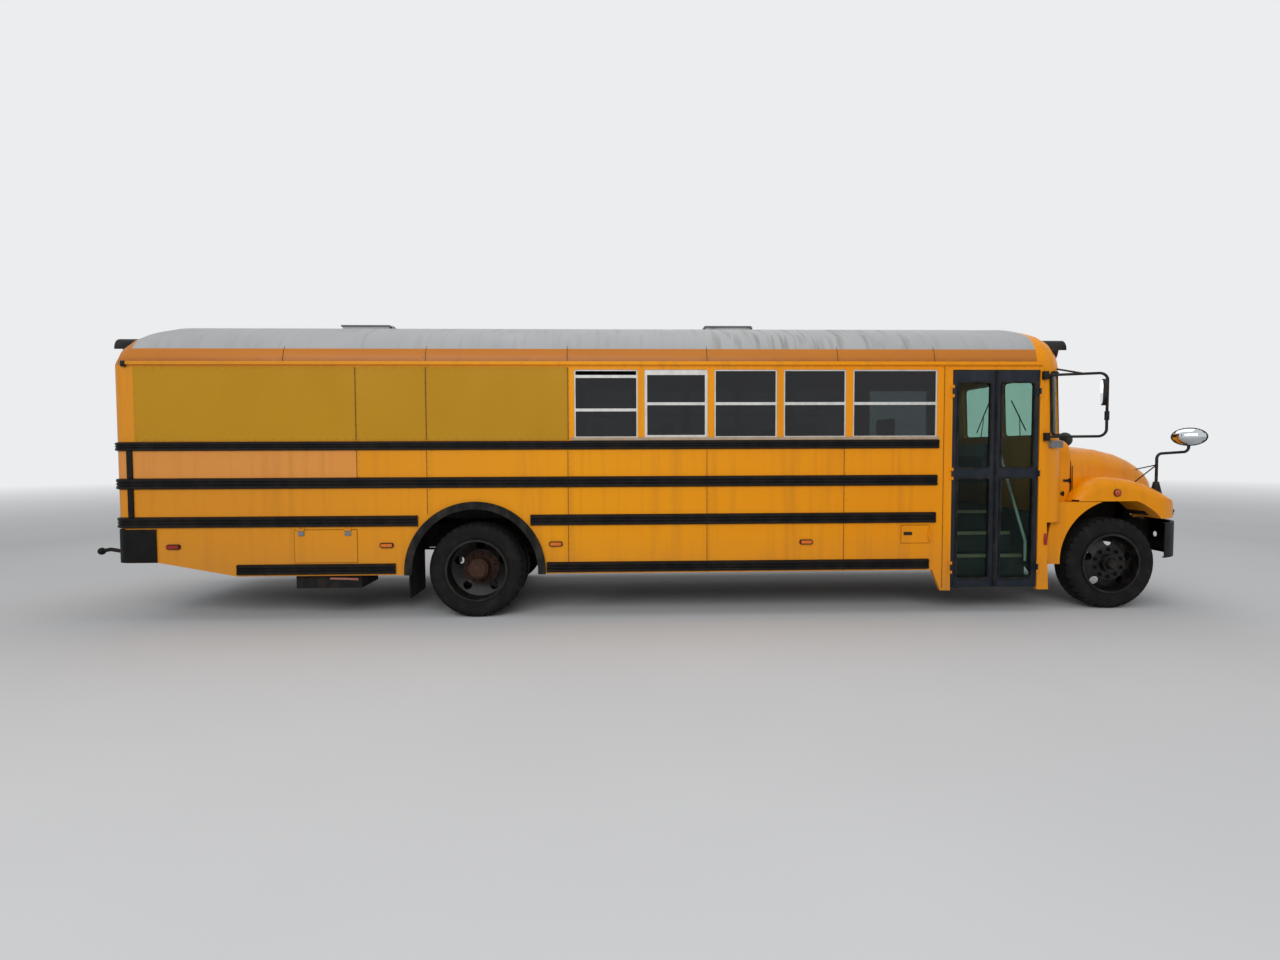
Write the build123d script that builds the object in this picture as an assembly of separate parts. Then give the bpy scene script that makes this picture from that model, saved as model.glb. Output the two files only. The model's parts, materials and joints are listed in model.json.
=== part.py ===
from build123d import *
import math
import os

# A conventional school bus with a bonnet, in millimetres. Stations along the bus are measured from
# the rear axle, +X is forward, +Y is the driver's side, -Y is the curb side with the entrance
# door, and Z is the height over the ground. The finished nodes are shifted along X so that the
# origin lies under the middle of the whole length.

# Running gear
wheelbase = 6452.0
tyre_radius = 466.0
tyre_width = 255.0
tread_corner = 30.0
rim_radius = 298.0
rim_wall = 12.0
rear_outer_wheel = 1067.0
dual_spacing = 300.0
front_wheel = 1003.0
spindle_radius = 45.0
beam_eye = 33.0
beam_eye_height = 50.0
fork_gap = 3.0
fork_wall = 10.0
fork_back = 46.0
fork_plate = 33.7
hub_radius = 130.0
hub_cap_radius = 62.0
hand_hole_radius = 44.0
hand_hole_circle = 200.0
hand_holes = 5
stud_circle = 285.75
studs = 10
running_gap = 0.05
seat_gap = 0.3
kingpin_y = 868.0
kingpin_radius = 22.0

# Chassis frame
rail_y = 432.0
rail_width = 76.0
rail_height = 254.0
rail_web = 10.0
rail_top = 862.0

cross_members = (-3150.0, -1900.0, -750.0, 750.0, 2100.0, 3400.0, 4700.0, 5700.0)
axle_tube_radius = 70.0
differential_radius = 195.0

# Body shell
half_width = 1219.0
wall = 45.0
rear_end = -3421.0
rear_corner = 90.0
side_rear = rear_end + rear_corner
skirt_bottom = 436.0
well_bottom = 228.0
well_rear = 4626.0
well_slope_rear = 4541.0
skirt_rise_from = -2286.0
skirt_rise_to = -3030.0
skirt_rear_bottom = 576.0
rear_panel_bottom = 908.0
crown = 2990.0
wall_top = 2474.0
shoulder_in = 233.0
shoulder_share = 0.653
bend_in = 64.0
bend_share = 0.397
roof_shell = 45.0
front_post_foot = 5734.0
front_post_head = 5640.0
front_corner = 265.0
floor_top = 966.0
floor_thick = 34.0
arch_radius = 640.0
flare_outer = 685.0
flare_inner = 612.0
flare_proud = 34.0
housing_gap = 12.0
housing_wall = 10.0
housing_inner_y = 610.0
cap_length = 330.0
cap_drop = 430.0

# The roof's rise above the walls, at the middle
full_rise = crown - wall_top

# Side windows
sill = 1768.0
window_head = 2433.0
window_pitch = 687.0
first_window = 1285.0
window_width = 620.0
sash_windows = 4
wide_window = (3726.0, 4572.0)
driver_window = (4760.0, 5560.0)
window_corner = 14.0
pane_corner = 6.0
sash_recess = 8.0
sash_depth = 26.0
sash_bar = 28.0
glass_thick = 6.0

# Sash looks: how far the sash is let down, and the widths of its side bands and of its head band
plain_sash = (0.0, 13.0, 13.0)
let_down_sash = (60.0, 13.0, 13.0)
newer_sash = (0.0, 26.0, 52.0)
curb_looks = (let_down_sash, newer_sash, plain_sash, plain_sash, plain_sash)

# Former window bays behind the first window, covered by flat sheets
sheet_bays = ((-3217.0, -1128.0), (-1126.0, -456.0), (-454.0, 915.0))
sheet_bottom = 1748.0
sheet_top = 2458.0
sheet_thick = 4.0

# Rub rails on the sides: centre height, height of the band, rear and front ends of each length
rub_rails = (
    (1698.0, 88.0, ((side_rear + seat_gap, 4589.0),)),
    (1339.0, 108.0, ((side_rear + seat_gap, 4575.0),)),
    (966.0, 108.0, ((side_rear + seat_gap, -551.0), (540.0, 4565.0))),
    (500.0, 104.0, ((-2289.0, -772.0), (696.0, 4500.0))),
)
rub_proud = 24.0
rub_groove = 9.0
rail_wrap = 180.0
rail_uprights = (-3292.0, -3243.0)
upright_proud = 18.0
drip_rear = -3292.0
drip_low = 2478.0
drip_high = 2510.0
drip_proud = 26.0

# Entrance door: two leaves that swing outwards from the posts
door_rear = 4734.0
door_front = 5607.0
door_foot = 256.0
door_head = 2425.0
leaf_thick = 38.0
leaf_gap = 12.0
side_gap = 8.0
leaf_stile = 52.0
leaf_middle = (1352.0, 1462.0)
leaf_bottom_bar = 95.0
leaf_top_bar = 120.0
step_heights = (335.0, 545.0, 755.0)
step_run = 228.0
step_plate = 20.0

# Small doors in the curb side skirt
hatch_x = (-1742.0, -1135.0)
hatch_z = (560.0, 888.0)
filler_x = (4218.0, 4512.0)
filler_z = (706.0, 892.0)
door_clearance = 5.0

# Rear emergency door
exit_half = 470.0
exit_foot = 945.0
exit_head = 2380.0
exit_window = (1700.0, 2280.0)
exit_gap = 6.0

# Stop arm hinge on the driver's side
stop_axis_x = 4930.0

# Front end
cowl_front = 6110.0
cowl_half = 985.0
cowl_round = 150.0
cowl_foot = 905.0
cowl_top = 1742.0
cowl_wall = 25.0
hood_rear = 6122.0
hood_nose = 7290.0
hood_skin = 14.0
fender_seam = 1108.0
fender_outer = 1132.0
fender_inner = 520.0
hood_lip = 905.0
fender_foot = 925.0
fender_round = 110.0
nose_corner = 400.0
front_arch_radius = 690.0
cowl_nose_round = 45.0
engine_x = (6135.0, 7060.0)
gearbox_x = (5760.0, 6136.0)
gearbox_half = 180.0
gearbox_z = (500.0, 760.0)
engine_y = 330.0
engine_z = (640.0, 1290.0)
bumper_face = 7355.0
bumper_low = 520.0
bumper_high = 880.0
bumper_plate = 8.0
bumper_flange = 30.0
front_bumper_half = 1150.0
front_bumper_corner = 520.0
front_bumper_reach = 7010.0
rail_front = bumper_face - bumper_plate - seat_gap
tow_hole_y = 560.0
tow_hole_z = 700.0
tow_hole_radius = 30.0
rear_bumper_face = -3436.0
rear_bumper_low = 580.0
rear_bumper_high = 900.0
rear_bumper_wrap = -3040.0
rail_rear = rear_bumper_face + bumper_plate + seat_gap
tilt_axis = (7275.0, 884.0)
tilt_boss = 14.0
tilt_pin = 8.0

# Mirrors and the reach of the whole bus
mirror_tube = 13.0
mirror_face = (170.0, 255.0)
mirror_face_round = 75.0
mirror_thick = 34.0
mirror_turn = -27.0
mirror_reach_x = 6115.0
mirror_reach_y = 1475.0
cross_mirror_x = 7330.0
cross_mirror_y = 1010.0
cross_mirror_z = 1765.0
coupling_x = -3770.0
coupling_y = -930.0
coupling_z = 655.0
ball_radius = 36.0
lamp_places = (-960.0, -640.0, 640.0, 960.0)
lamp_drop = 330.0
lamp_shade = 90.0

# Side marker lamps along the skirt, and the lamps on the rear wall: across, height, radius
marker_stations = (-2884.0, -854.0, 786.0, 3264.0)
marker_size = (132.0, 48.0, 16.0)
marker_z = 730.0
rear_lamps = ((930.0, 1523.0, 92.0), (930.0, 1152.0, 92.0), (720.0, 1152.0, 60.0))
rear_lamp_base = 18.0
rear_lamp_lens = 28.0

reach_rear = coupling_x - ball_radius
cross_mirror_turn = -40.0
cross_mirror_size = (155.0, 85.0, 95.0)
reach_front = cross_mirror_x + math.hypot(
    cross_mirror_size[0] * math.cos(math.radians(cross_mirror_turn)),
    cross_mirror_size[1] * math.sin(math.radians(cross_mirror_turn)),
)
middle = (reach_rear + reach_front) / 2

nodes = {}


def block(x0, x1, y0, y1, z0, z1):
    """A box between two corners."""
    size = Box(x1 - x0, y1 - y0, z1 - z0)
    return Pos((x0 + x1) / 2, (y0 + y1) / 2, (z0 + z1) / 2) * size


def plate_y(face, low, high):
    """A face drawn in X and Z, as a plate between two widths."""
    return extrude(Plane.XZ.offset(-high) * face, amount=high - low)


def plate_x(face, low, high):
    """A face drawn in Y and Z, as a plate between two stations."""
    return extrude(Plane.YZ.offset(low) * face, amount=high - low)


def plate_z(face, low, high):
    """A face drawn in X and Y, as a plate between two heights."""
    return extrude(Plane.XY.offset(low) * face, amount=high - low)


def outline(*edges):
    """A face from lines and arcs that close on each other."""
    return make_face([edge for part in edges for edge in part.edges()])


def window(low, high, bottom, top, radius):
    """A rounded rectangle between two places across and two heights."""
    shape = RectangleRounded(high - low, top - bottom, radius)
    return Pos((low + high) / 2, (bottom + top) / 2) * shape


def drum(x, y0, y1, z, radius):
    """A cylinder across the bus."""
    turned = Pos(x, (y0 + y1) / 2, z) * Rot(90, 0, 0)
    return turned * Cylinder(radius, y1 - y0)


def rod(start, end, radius):
    """A round bar between two points."""
    a = Vector(*start)
    b = Vector(*end)
    path = Plane(origin=a, z_dir=b - a)
    return extrude(path * Circle(radius), amount=(b - a).length)


def tube(points, radius, bend):
    """A bent bar along straight runs and corner arcs."""
    path = FilletPolyline(*points, radius=bend)
    section = Plane(origin=path @ 0, z_dir=path % 0) * Circle(radius)
    return sweep(section, path=path)


def mirrored(shape):
    """The same shape on the other side of the bus."""
    return mirror(shape, about=Plane.XZ)


def both(shape):
    """A shape and its twin across the bus."""
    return group([shape, mirrored(shape)])


def group(shapes):
    """Solids that share a node and don't touch."""
    solids = [solid for shape in shapes for solid in shape.solids()]
    return Compound(children=solids)


def joined(shapes):
    """Shapes fused into one."""
    total = shapes[0]
    for shape in shapes[1:]:
        total = total + shape
    return total


# Wheels


def tyre(centre_x, inner, outer):
    """A tyre turned from its half section: bead, sidewall, shoulder and tread."""
    bead = rim_radius
    bulge = 14.0
    section = outline(
        Line((inner + bulge, bead), (outer - bulge, bead)),
        ThreePointArc(
            (outer - bulge, bead),
            (outer, (bead + tyre_radius) / 2),
            (outer - bulge, tyre_radius - tread_corner),
        ),
        Line((outer - bulge, tyre_radius - tread_corner), (outer - bulge - tread_corner, tyre_radius)),
        Line((outer - bulge - tread_corner, tyre_radius), (inner + bulge + tread_corner, tyre_radius)),
        Line((inner + bulge + tread_corner, tyre_radius), (inner + bulge, tyre_radius - tread_corner)),
        ThreePointArc(
            (inner + bulge, tyre_radius - tread_corner),
            (inner, (bead + tyre_radius) / 2),
            (inner + bulge, bead),
        ),
    )
    ring = revolve(Plane.YZ * section, axis=Axis.Y)
    return Pos(centre_x, 0, tyre_radius) * ring


def rim(centre_x, inner, outer, disc_y, disc_dish):
    """A steel disc wheel: a rolled rim, and a dished disc with round hand holes."""
    wall_in = rim_radius - rim_wall
    seat = rim_radius - 0.5
    lip = rim_radius + 8
    barrel = outline(
        Polyline(
            (inner + 1, wall_in),
            (outer - 1, wall_in),
            (outer - 1, lip),
            (outer - 9, lip),
            (outer - 9, seat),
            (inner + 9, seat),
            (inner + 9, lip),
            (inner + 1, lip),
            (inner + 1, wall_in),
        )
    )
    thick = 14.0
    flat = 175.0
    disc = outline(
        Polyline(
            (disc_y, hub_radius - 40),
            (disc_y, flat),
            (disc_y + disc_dish, wall_in + 4),
            (disc_y + disc_dish + thick, wall_in + 4),
            (disc_y + thick, flat),
            (disc_y + thick, hub_radius - 40),
            (disc_y, hub_radius - 40),
        )
    )
    wheel = revolve(Plane.YZ * barrel, axis=Axis.Y) + revolve(Plane.YZ * disc, axis=Axis.Y)
    for number in range(hand_holes):
        turn = Rot(0, 360.0 / hand_holes * number, 0)
        reach = max(abs(disc_dish), 10) + 80
        hole = turn * drum(0, disc_y - reach, disc_y + reach, hand_hole_circle + 25, hand_hole_radius)
        wheel = wheel - hole
    return Pos(centre_x, 0, tyre_radius) * wheel


def hub(centre_x, sections, bore_end):
    """A hub turned from steps: from and to across the bus, and the radius of each."""
    body = joined([drum(centre_x, low, high, tyre_radius, radius) for low, high, radius in sections])
    inner = min(low for low, high, radius in sections)
    return body - drum(centre_x, inner - 1, bore_end, tyre_radius, spindle_radius + running_gap)


def stud_ring(centre_x, low, high, radius):
    """Wheel studs with nuts around a hub."""
    pins = []
    for number in range(studs):
        angle = 2 * math.pi * (number + 0.5) / studs
        x = centre_x + stud_circle / 2 * math.cos(angle)
        z = tyre_radius + stud_circle / 2 * math.sin(angle)
        pins.append(drum(x, low, high, z, radius))
    return joined(pins)


rear_inner_wheel = rear_outer_wheel - dual_spacing
half_tyre = tyre_width / 2

rear_tyres = group(
    [
        tyre(0, rear_outer_wheel - half_tyre, rear_outer_wheel + half_tyre),
        tyre(0, rear_inner_wheel - half_tyre, rear_inner_wheel + half_tyre),
    ]
)
rear_mate = (rear_outer_wheel + rear_inner_wheel) / 2
outer_disc = rim(
    0, rear_outer_wheel - half_tyre, rear_outer_wheel + half_tyre, rear_mate, 60
)
inner_disc = rim(
    0, rear_inner_wheel - half_tyre, rear_inner_wheel + half_tyre, rear_mate - 14, -60
)
rear_hub = hub(
    0,
    (
        (rear_mate - 130, rear_mate - 14, hub_radius),
        (rear_mate - 14, rear_mate + 14, hub_radius - 38),
        (rear_mate + 14, rear_mate + 175, hub_radius - 30),
        (rear_mate + 175, rear_mate + 190, hub_radius - 45),
    ),
    rear_mate + 120,
)
rear_wheel = outer_disc + inner_disc + rear_hub + stud_ring(0, rear_mate + 10, rear_mate + 40, 16)

front_face = front_wheel + half_tyre
front_disc_y = front_wheel + 62
front_tyre = tyre(wheelbase, front_wheel - half_tyre, front_face)
front_rim = rim(wheelbase, front_wheel - half_tyre, front_face, front_disc_y, -48)
front_hub = hub(
    wheelbase,
    (
        (front_wheel - 70, front_disc_y, hub_radius - 5),
        (front_disc_y - 4, front_disc_y + 60, hub_radius - 42),
        (front_disc_y + 60, front_disc_y + 90, hub_cap_radius),
    ),
    front_disc_y + 55,
)
front_wheel_set = front_rim + front_hub + stud_ring(wheelbase, front_disc_y + 10, front_disc_y + 38, 16)

nodes["rear_left_tyres"] = rear_tyres
nodes["rear_left_wheels"] = rear_wheel
nodes["rear_right_tyres"] = mirrored(rear_tyres)
nodes["rear_right_wheels"] = mirrored(rear_wheel)
nodes["front_left_tyre"] = front_tyre
nodes["front_left_wheel"] = front_wheel_set
nodes["front_right_tyre"] = mirrored(front_tyre)
nodes["front_right_wheel"] = mirrored(front_wheel_set)


# Axles, knuckles, springs and the drive line


def knuckle():
    """The spindle with a fork that holds the kingpin above and below the beam's end."""
    z = tyre_radius
    fork_inner = kingpin_y - fork_back
    fork_outer = kingpin_y + beam_eye + fork_gap + fork_wall
    plate_low = beam_eye_height + 2.3
    plate_high = plate_low + fork_plate
    half = 42
    arm = joined(
        [
            block(wheelbase - half, wheelbase + half, fork_inner, fork_outer, z + plate_low, z + plate_high),
            block(wheelbase - half, wheelbase + half, fork_inner, fork_outer, z - plate_high, z - plate_low),
            block(wheelbase - half, wheelbase + half, fork_outer - fork_wall, fork_outer,
                  z - plate_high, z + plate_high),
            drum(wheelbase, fork_outer - 6, front_disc_y + 50, z, spindle_radius),
            block(wheelbase - 205, wheelbase - 40, fork_inner, fork_inner + 34, z - 84, z - 58),
        ]
    )
    pin = Pos(wheelbase, kingpin_y, z) * Cylinder(kingpin_radius, 2 * plate_high)
    return arm + pin


nodes["front_left_knuckle"] = knuckle()
nodes["front_right_knuckle"] = mirrored(knuckle())

beam_half = outline(
    Polyline(
        (0, tyre_radius - 105),
        (560, tyre_radius - 105),
        (720, tyre_radius - beam_eye_height),
        (kingpin_y + beam_eye, tyre_radius - beam_eye_height),
        (kingpin_y + beam_eye, tyre_radius + beam_eye_height),
        (690, tyre_radius + beam_eye_height),
        (540, tyre_radius + 5),
        (0, tyre_radius + 5),
        (0, tyre_radius - 105),
    )
)
half_beam = plate_x(beam_half, wheelbase - 36, wheelbase + 36)
half_beam = half_beam - block(wheelbase + 10, wheelbase + 40, -1, 640, tyre_radius - 84, tyre_radius - 16)
half_beam = half_beam - block(wheelbase - 40, wheelbase - 10, -1, 640, tyre_radius - 84, tyre_radius - 16)
tip = Pos(0, beam_eye, 0) * Box(4 * beam_eye, 2 * beam_eye, 200) - Cylinder(beam_eye, 200)
for cut in (tip, Cylinder(kingpin_radius + running_gap, 200)):
    half_beam = half_beam - Pos(wheelbase, kingpin_y, tyre_radius) * cut
beam = half_beam + mirrored(half_beam)
nodes["front_axle_beam"] = beam

axle_end = rear_mate + 118
rear_axle = joined(
    [
        drum(0, -axle_end, axle_end, tyre_radius, spindle_radius),
        drum(0, -(rear_mate - 134), rear_mate - 134, tyre_radius, axle_tube_radius),
        Pos(0, 0, tyre_radius) * Sphere(differential_radius),
        rod((120, 0, tyre_radius + 50), (300, 0, tyre_radius + 50), 78),
    ]
)
nodes["rear_axle"] = rear_axle


def leaf_spring(axle_x, axle_top, half_length, leaves, y):
    """A leaf pack that rests on an axle and hangs from the frame, with its hangers."""
    top = axle_top + 20 + leaves * 14
    shapes = [block(axle_x - 60, axle_x + 60, y - 45, y + 45, axle_top + 0.3, axle_top + 22)]
    for number in range(leaves):
        low = axle_top + 20 + number * 14
        reach = half_length * (0.35 + 0.65 * number / (leaves - 1))
        shapes.append(block(axle_x - reach, axle_x + reach, y - 38, y + 38, low, low + 14))
    for end in (-1, 1):
        x = axle_x + end * (half_length - 35)
        shapes.append(block(x - 35, x + 35, y - 30, y + 30, top - 4, rail_top - rail_height - 0.3))
    return joined(shapes)


front_spring = leaf_spring(wheelbase, tyre_radius + 5, 600, 4, rail_y)
rear_spring = leaf_spring(0, tyre_radius + axle_tube_radius, 720, 3, rail_y + 40)
nodes["leaf_springs"] = group([front_spring, mirrored(front_spring), rear_spring, mirrored(rear_spring)])

shaft_front = (5759.0, 0.0, 600.0)
shaft_rear = (301.1, 0.0, tyre_radius + 50)
nodes["drive_shaft"] = rod(shaft_rear, shaft_front, 48)


# Ladder frame


def frame_rail(y):
    """A channel rail, open towards the middle of the bus."""
    side = 1 if y > 0 else -1
    rail = block(rail_rear, rail_front, y - rail_width / 2, y + rail_width / 2,
                 rail_top - rail_height, rail_top)
    pocket_y = (y - side * rail_width / 2, y + side * (rail_width / 2 - rail_web))
    pocket = block(rail_rear - 1, rail_front + 1, min(pocket_y), max(pocket_y),
                   rail_top - rail_height + rail_web, rail_top - rail_web)
    return rail - pocket


members = [frame_rail(rail_y), frame_rail(-rail_y)]
inside = rail_y + rail_width / 2 - rail_web + 1
for station in cross_members:
    members.append(block(station - 45, station + 45, -inside, inside, rail_top - 190, rail_top - 60))
    members.append(block(station - 45, station + 45, -inside, inside, rail_top - 60, rail_top - 45))
bracket_side = outline(
    Polyline(
        (7060, rail_top - 6),
        (7190, rail_top - 6),
        (tilt_axis[0], tilt_axis[1] - tilt_boss),
        (tilt_axis[0], tilt_axis[1] + tilt_boss),
        (7060, rail_top + 18),
        (7060, rail_top - 6),
    )
)
bracket_y = (rail_y + 8, rail_y + 22)
lug_y = (bracket_y[1] + 2, bracket_y[1] + 18)
bracket = joined(
    [
        plate_y(bracket_side, *bracket_y),
        drum(tilt_axis[0], *bracket_y, tilt_axis[1], tilt_boss),
        drum(tilt_axis[0], bracket_y[0], lug_y[1] + 4, tilt_axis[1], tilt_pin),
    ]
)
members += [bracket, mirrored(bracket)]
nodes["frame_rails"] = joined(members)
engine = [
    block(*engine_x, -engine_y, engine_y, *engine_z),
    block(*gearbox_x, -gearbox_half, gearbox_half, *gearbox_z),
]
for side in (-1, 1):
    foot = (min(side * (engine_y - 2), side * rail_y), max(side * (engine_y - 2), side * rail_y))
    engine.append(block(6260, 6380, *foot, rail_top + seat_gap, rail_top + 40))
nodes["engine_block"] = joined(engine)


# Body shell


def roof_section(half, rise, foot=wall_top):
    """The cross-section of the roof at one station: rounded shoulders and a low crown."""
    shoulder_y = half - shoulder_in
    shoulder_z = wall_top + rise * shoulder_share
    bend_y = half - bend_in
    bend_z = wall_top + rise * bend_share
    edges = [
        ThreePointArc((half, wall_top), (bend_y, bend_z), (shoulder_y, shoulder_z)),
        ThreePointArc((shoulder_y, shoulder_z), (0, wall_top + rise), (-shoulder_y, shoulder_z)),
        ThreePointArc((-shoulder_y, shoulder_z), (-bend_y, bend_z), (-half, wall_top)),
    ]
    if foot < wall_top:
        edges.append(Polyline((-half, wall_top), (-half, foot), (half, foot), (half, wall_top)))
    else:
        edges.append(Line((-half, wall_top), (half, wall_top)))
    return outline(*edges)


front_plane = front_post_head + front_corner


def plan_outline(inset, front, rear):
    """The plan of the body, with its rounded corners at the back and the front."""
    side = half_width - inset
    front_r = front_corner - inset
    rear_r = rear_corner - inset
    end = front - inset
    back = rear + inset
    s = math.sqrt(0.5)
    return outline(
        Line((back + rear_r, side), (end - front_r, side)),
        ThreePointArc(
            (end - front_r, side),
            (end - front_r + front_r * s, side - front_r + front_r * s),
            (end, side - front_r),
        ),
        Line((end, side - front_r), (end, front_r - side)),
        ThreePointArc(
            (end, front_r - side),
            (end - front_r + front_r * s, front_r - side - front_r * s),
            (end - front_r, -side),
        ),
        Line((end - front_r, -side), (back + rear_r, -side)),
        ThreePointArc(
            (back + rear_r, -side),
            (back + rear_r - rear_r * s, rear_r - side - rear_r * s),
            (back, rear_r - side),
        ),
        Line((back, rear_r - side), (back, side - rear_r)),
        ThreePointArc(
            (back, side - rear_r),
            (back + rear_r - rear_r * s, side - rear_r + rear_r * s),
            (back + rear_r, side),
        ),
    )


cap_stations = 6


def cap_form(end, facing, corner, inset):
    """The end of the roof: cross-sections that narrow along the plan's corner and drop to the end."""
    sections = []
    for number in range(cap_stations):
        angle = math.pi / 2 * number / (cap_stations - 1)
        back = cap_length * (1 - math.sin(angle))
        side = half_width
        if back < corner:
            side = half_width - corner + math.sqrt(corner**2 - (corner - back) ** 2)
        rise = full_rise - cap_drop * (1 - math.cos(angle))
        station = end - facing * (back + inset * math.sin(angle))
        if inset and number == 0:
            station = station - facing
        foot = wall_top - 5 if inset else wall_top
        sections.append(Plane.YZ.offset(station) * roof_section(side - inset, rise - inset, foot))
    return loft(sections, ruled=True)


front_cap_form = cap_form(front_plane, 1, front_corner, 0)
rear_cap_form = cap_form(rear_end, -1, rear_corner, 0)
nodes["roof_front_cap"] = front_cap_form - cap_form(front_plane, 1, front_corner, roof_shell)
nodes["roof_rear_cap"] = rear_cap_form - cap_form(rear_end, -1, rear_corner, roof_shell)
roof_skin = roof_section(half_width, full_rise) - roof_section(
    half_width - roof_shell, full_rise - roof_shell, wall_top - 5
)
middle_roof = plate_x(roof_skin, rear_end + cap_length, front_plane - cap_length)
hatch_wells = ((-1613.0, -1086.0), (2373.0, 2896.0))
hatch_half = 270.0
hatch_height = 34.0
upstand = 18.0
for low, high in hatch_wells:
    lip = block(low + 12, high - 12, 12 - hatch_half, hatch_half - 12, crown - roof_shell, crown + upstand)
    well = block(low + 24, high - 24, 24 - hatch_half, hatch_half - 24, crown - 200, crown + 100)
    middle_roof = (middle_roof + lip) - well

# Hinges: knuckles about a pin, with a plate on the door and two on what carries it
knuckle_radius = 9.0
pin_radius = 6.0
hinge_plate = 7.0
pin_stand_off = 11.0


def hinge(place, door_face, wall_face, reach, half_length):
    """Both halves of a hinge whose door lies along the plane's x and inwards is y."""
    share = half_length * 0.5
    side_low = share + seat_gap
    door_half = Cylinder(knuckle_radius, 2 * share)
    door_half += block(0, reach, door_face - hinge_plate, door_face, -share, share)
    door_half -= Cylinder(pin_radius + running_gap, 2 * half_length)
    wall_half = Cylinder(pin_radius, 2 * half_length)
    for low, high in ((side_low, half_length), (-half_length, -side_low)):
        knuckle_part = Pos(0, 0, (low + high) / 2) * Cylinder(knuckle_radius, high - low)
        wall_half += knuckle_part
        wall_half += block(-knuckle_radius, -1, 0, wall_face, low, high)
        wall_half += block(-reach, 0, wall_face - hinge_plate, wall_face, low, high)
    return place * door_half, place * wall_half


def hinges(door_way, axis, places, door_face, wall_face, reach, half_length):
    """Several hinges on one axis: their door halves, and their wall halves."""
    pairs = [
        hinge(Plane(origin=place, x_dir=door_way, z_dir=axis), door_face, wall_face, reach, half_length)
        for place in places
    ]
    return [pair[0] for pair in pairs], [pair[1] for pair in pairs]


leaf_face_y = -half_width + 6
leaf_axis_y = -half_width - knuckle_radius - 0.5
leaf_axis_x = (door_rear - side_gap / 2, door_front + side_gap / 2)
leaf_hinge_z = (460.0, 1400.0, 2220.0)
rear_leaf_hinges = hinges(
    (1, 0, 0), (0, 0, 1), [(leaf_axis_x[0], leaf_axis_y, z) for z in leaf_hinge_z],
    leaf_face_y - leaf_axis_y, -half_width - leaf_axis_y, 30, 60
)
front_leaf_hinges = hinges(
    (-1, 0, 0), (0, 0, -1), [(leaf_axis_x[1], leaf_axis_y, z) for z in leaf_hinge_z],
    leaf_face_y - leaf_axis_y, -half_width - leaf_axis_y, 30, 60
)
flap_face_y = -half_width - 3
flap_axis_y = flap_face_y - pin_stand_off
hatch_axis_z = hatch_z[1] - door_clearance / 2
hatch_hinges = hinges(
    (0, 0, -1), (1, 0, 0), [(x, flap_axis_y, hatch_axis_z) for x in (hatch_x[0] + 70, hatch_x[1] - 90)],
    pin_stand_off, -half_width - flap_axis_y, 22, 34
)
filler_axis_x = filler_x[1] - door_clearance / 2
filler_hinges = hinges(
    (-1, 0, 0), (0, 0, -1), [(filler_axis_x, flap_axis_y, (filler_z[0] + filler_z[1]) / 2)],
    pin_stand_off, -half_width - flap_axis_y, 22, 60
)
exit_face_x = rear_end - 4
exit_axis = (exit_face_x - pin_stand_off, -exit_half - exit_gap / 2)
exit_hinges = hinges(
    (0, 1, 0), (0, 0, -1), [(*exit_axis, z) for z in (1080.0, 1630.0, 2240.0)],
    pin_stand_off, rear_end - exit_axis[0], 40, 60
)
hatch_pin_z = crown + 26
roof_hinges = []
for low, high in hatch_wells:
    roof_hinges.append(
        hinges(
            (-1, 0, 0), (0, -1, 0), [(high + 12, y, hatch_pin_z) for y in (180, -180)],
            hinge_plate / 2, 32.5, 13, 40
        )
    )
nodes["roof_panels"] = joined([middle_roof] + [half for pair in roof_hinges for half in pair[1]])

# Side walls: one plate each, cut for the windows, the wheel and the doors
sash_places = [
    (first_window + window_pitch * number - window_width / 2,
     first_window + window_pitch * number + window_width / 2)
    for number in range(sash_windows)
]
curb_windows = sash_places + [wide_window]
drive_windows = sash_places + [wide_window, driver_window]


def side_wall(windows):
    """The curb side's plate, from the skirt to the roof."""
    edge = outline(
        Polyline(
            (side_rear, skirt_rear_bottom),
            (skirt_rise_to, skirt_rear_bottom),
            (skirt_rise_from, skirt_bottom),
            (well_slope_rear, skirt_bottom),
            (well_rear, well_bottom),
            (front_post_foot, well_bottom),
            (front_post_head, wall_top),
            (side_rear, wall_top),
            (side_rear, skirt_rear_bottom),
        )
    )
    plate = plate_y(edge, -half_width, wall - half_width)
    plate = plate - drum(0, -half_width - 1, wall + 1 - half_width, tyre_radius, arch_radius)
    plate = plate - block(-arch_radius, arch_radius, -half_width - 1, wall + 1 - half_width, 0, tyre_radius)
    for low, high in windows:
        hole = window(low, high, sill, window_head, window_corner)
        plate = plate - plate_y(hole, -half_width - 1, wall + 1 - half_width)
    return plate


doorway = block(door_rear - side_gap, door_front + side_gap, -half_width - 1, wall + 1 - half_width, 0, door_head + side_gap)
hatch_hole = block(*hatch_x, -half_width - 1, wall + 1 - half_width, *hatch_z)
filler_hole = block(*filler_x, -half_width - 1, wall + 1 - half_width, *filler_z)
curb_plate = side_wall(curb_windows) - doorway - hatch_hole - filler_hole
nodes["curb_side_wall"] = joined(
    [curb_plate] + rear_leaf_hinges[1] + front_leaf_hinges[1] + hatch_hinges[1] + filler_hinges[1]
)
drive_cut = block(well_rear, front_post_foot + 1, -half_width - 1, wall + 1 - half_width, 0, skirt_bottom)
drive_skirt = block(well_slope_rear - 1, well_rear + 1, -half_width - 1, wall + 1 - half_width, 0, skirt_bottom)
stop_mounts = [
    block(stop_axis_x - 16, stop_axis_x + 16, half_width - 5, half_width + 44, z, z + 18)
    for z in (1495 + 95.3, 1495 - 95.3 - 18)
]
drive_plate = mirrored(side_wall(drive_windows) - drive_cut - drive_skirt)
nodes["driver_side_wall"] = joined([drive_plate] + stop_mounts)

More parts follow.
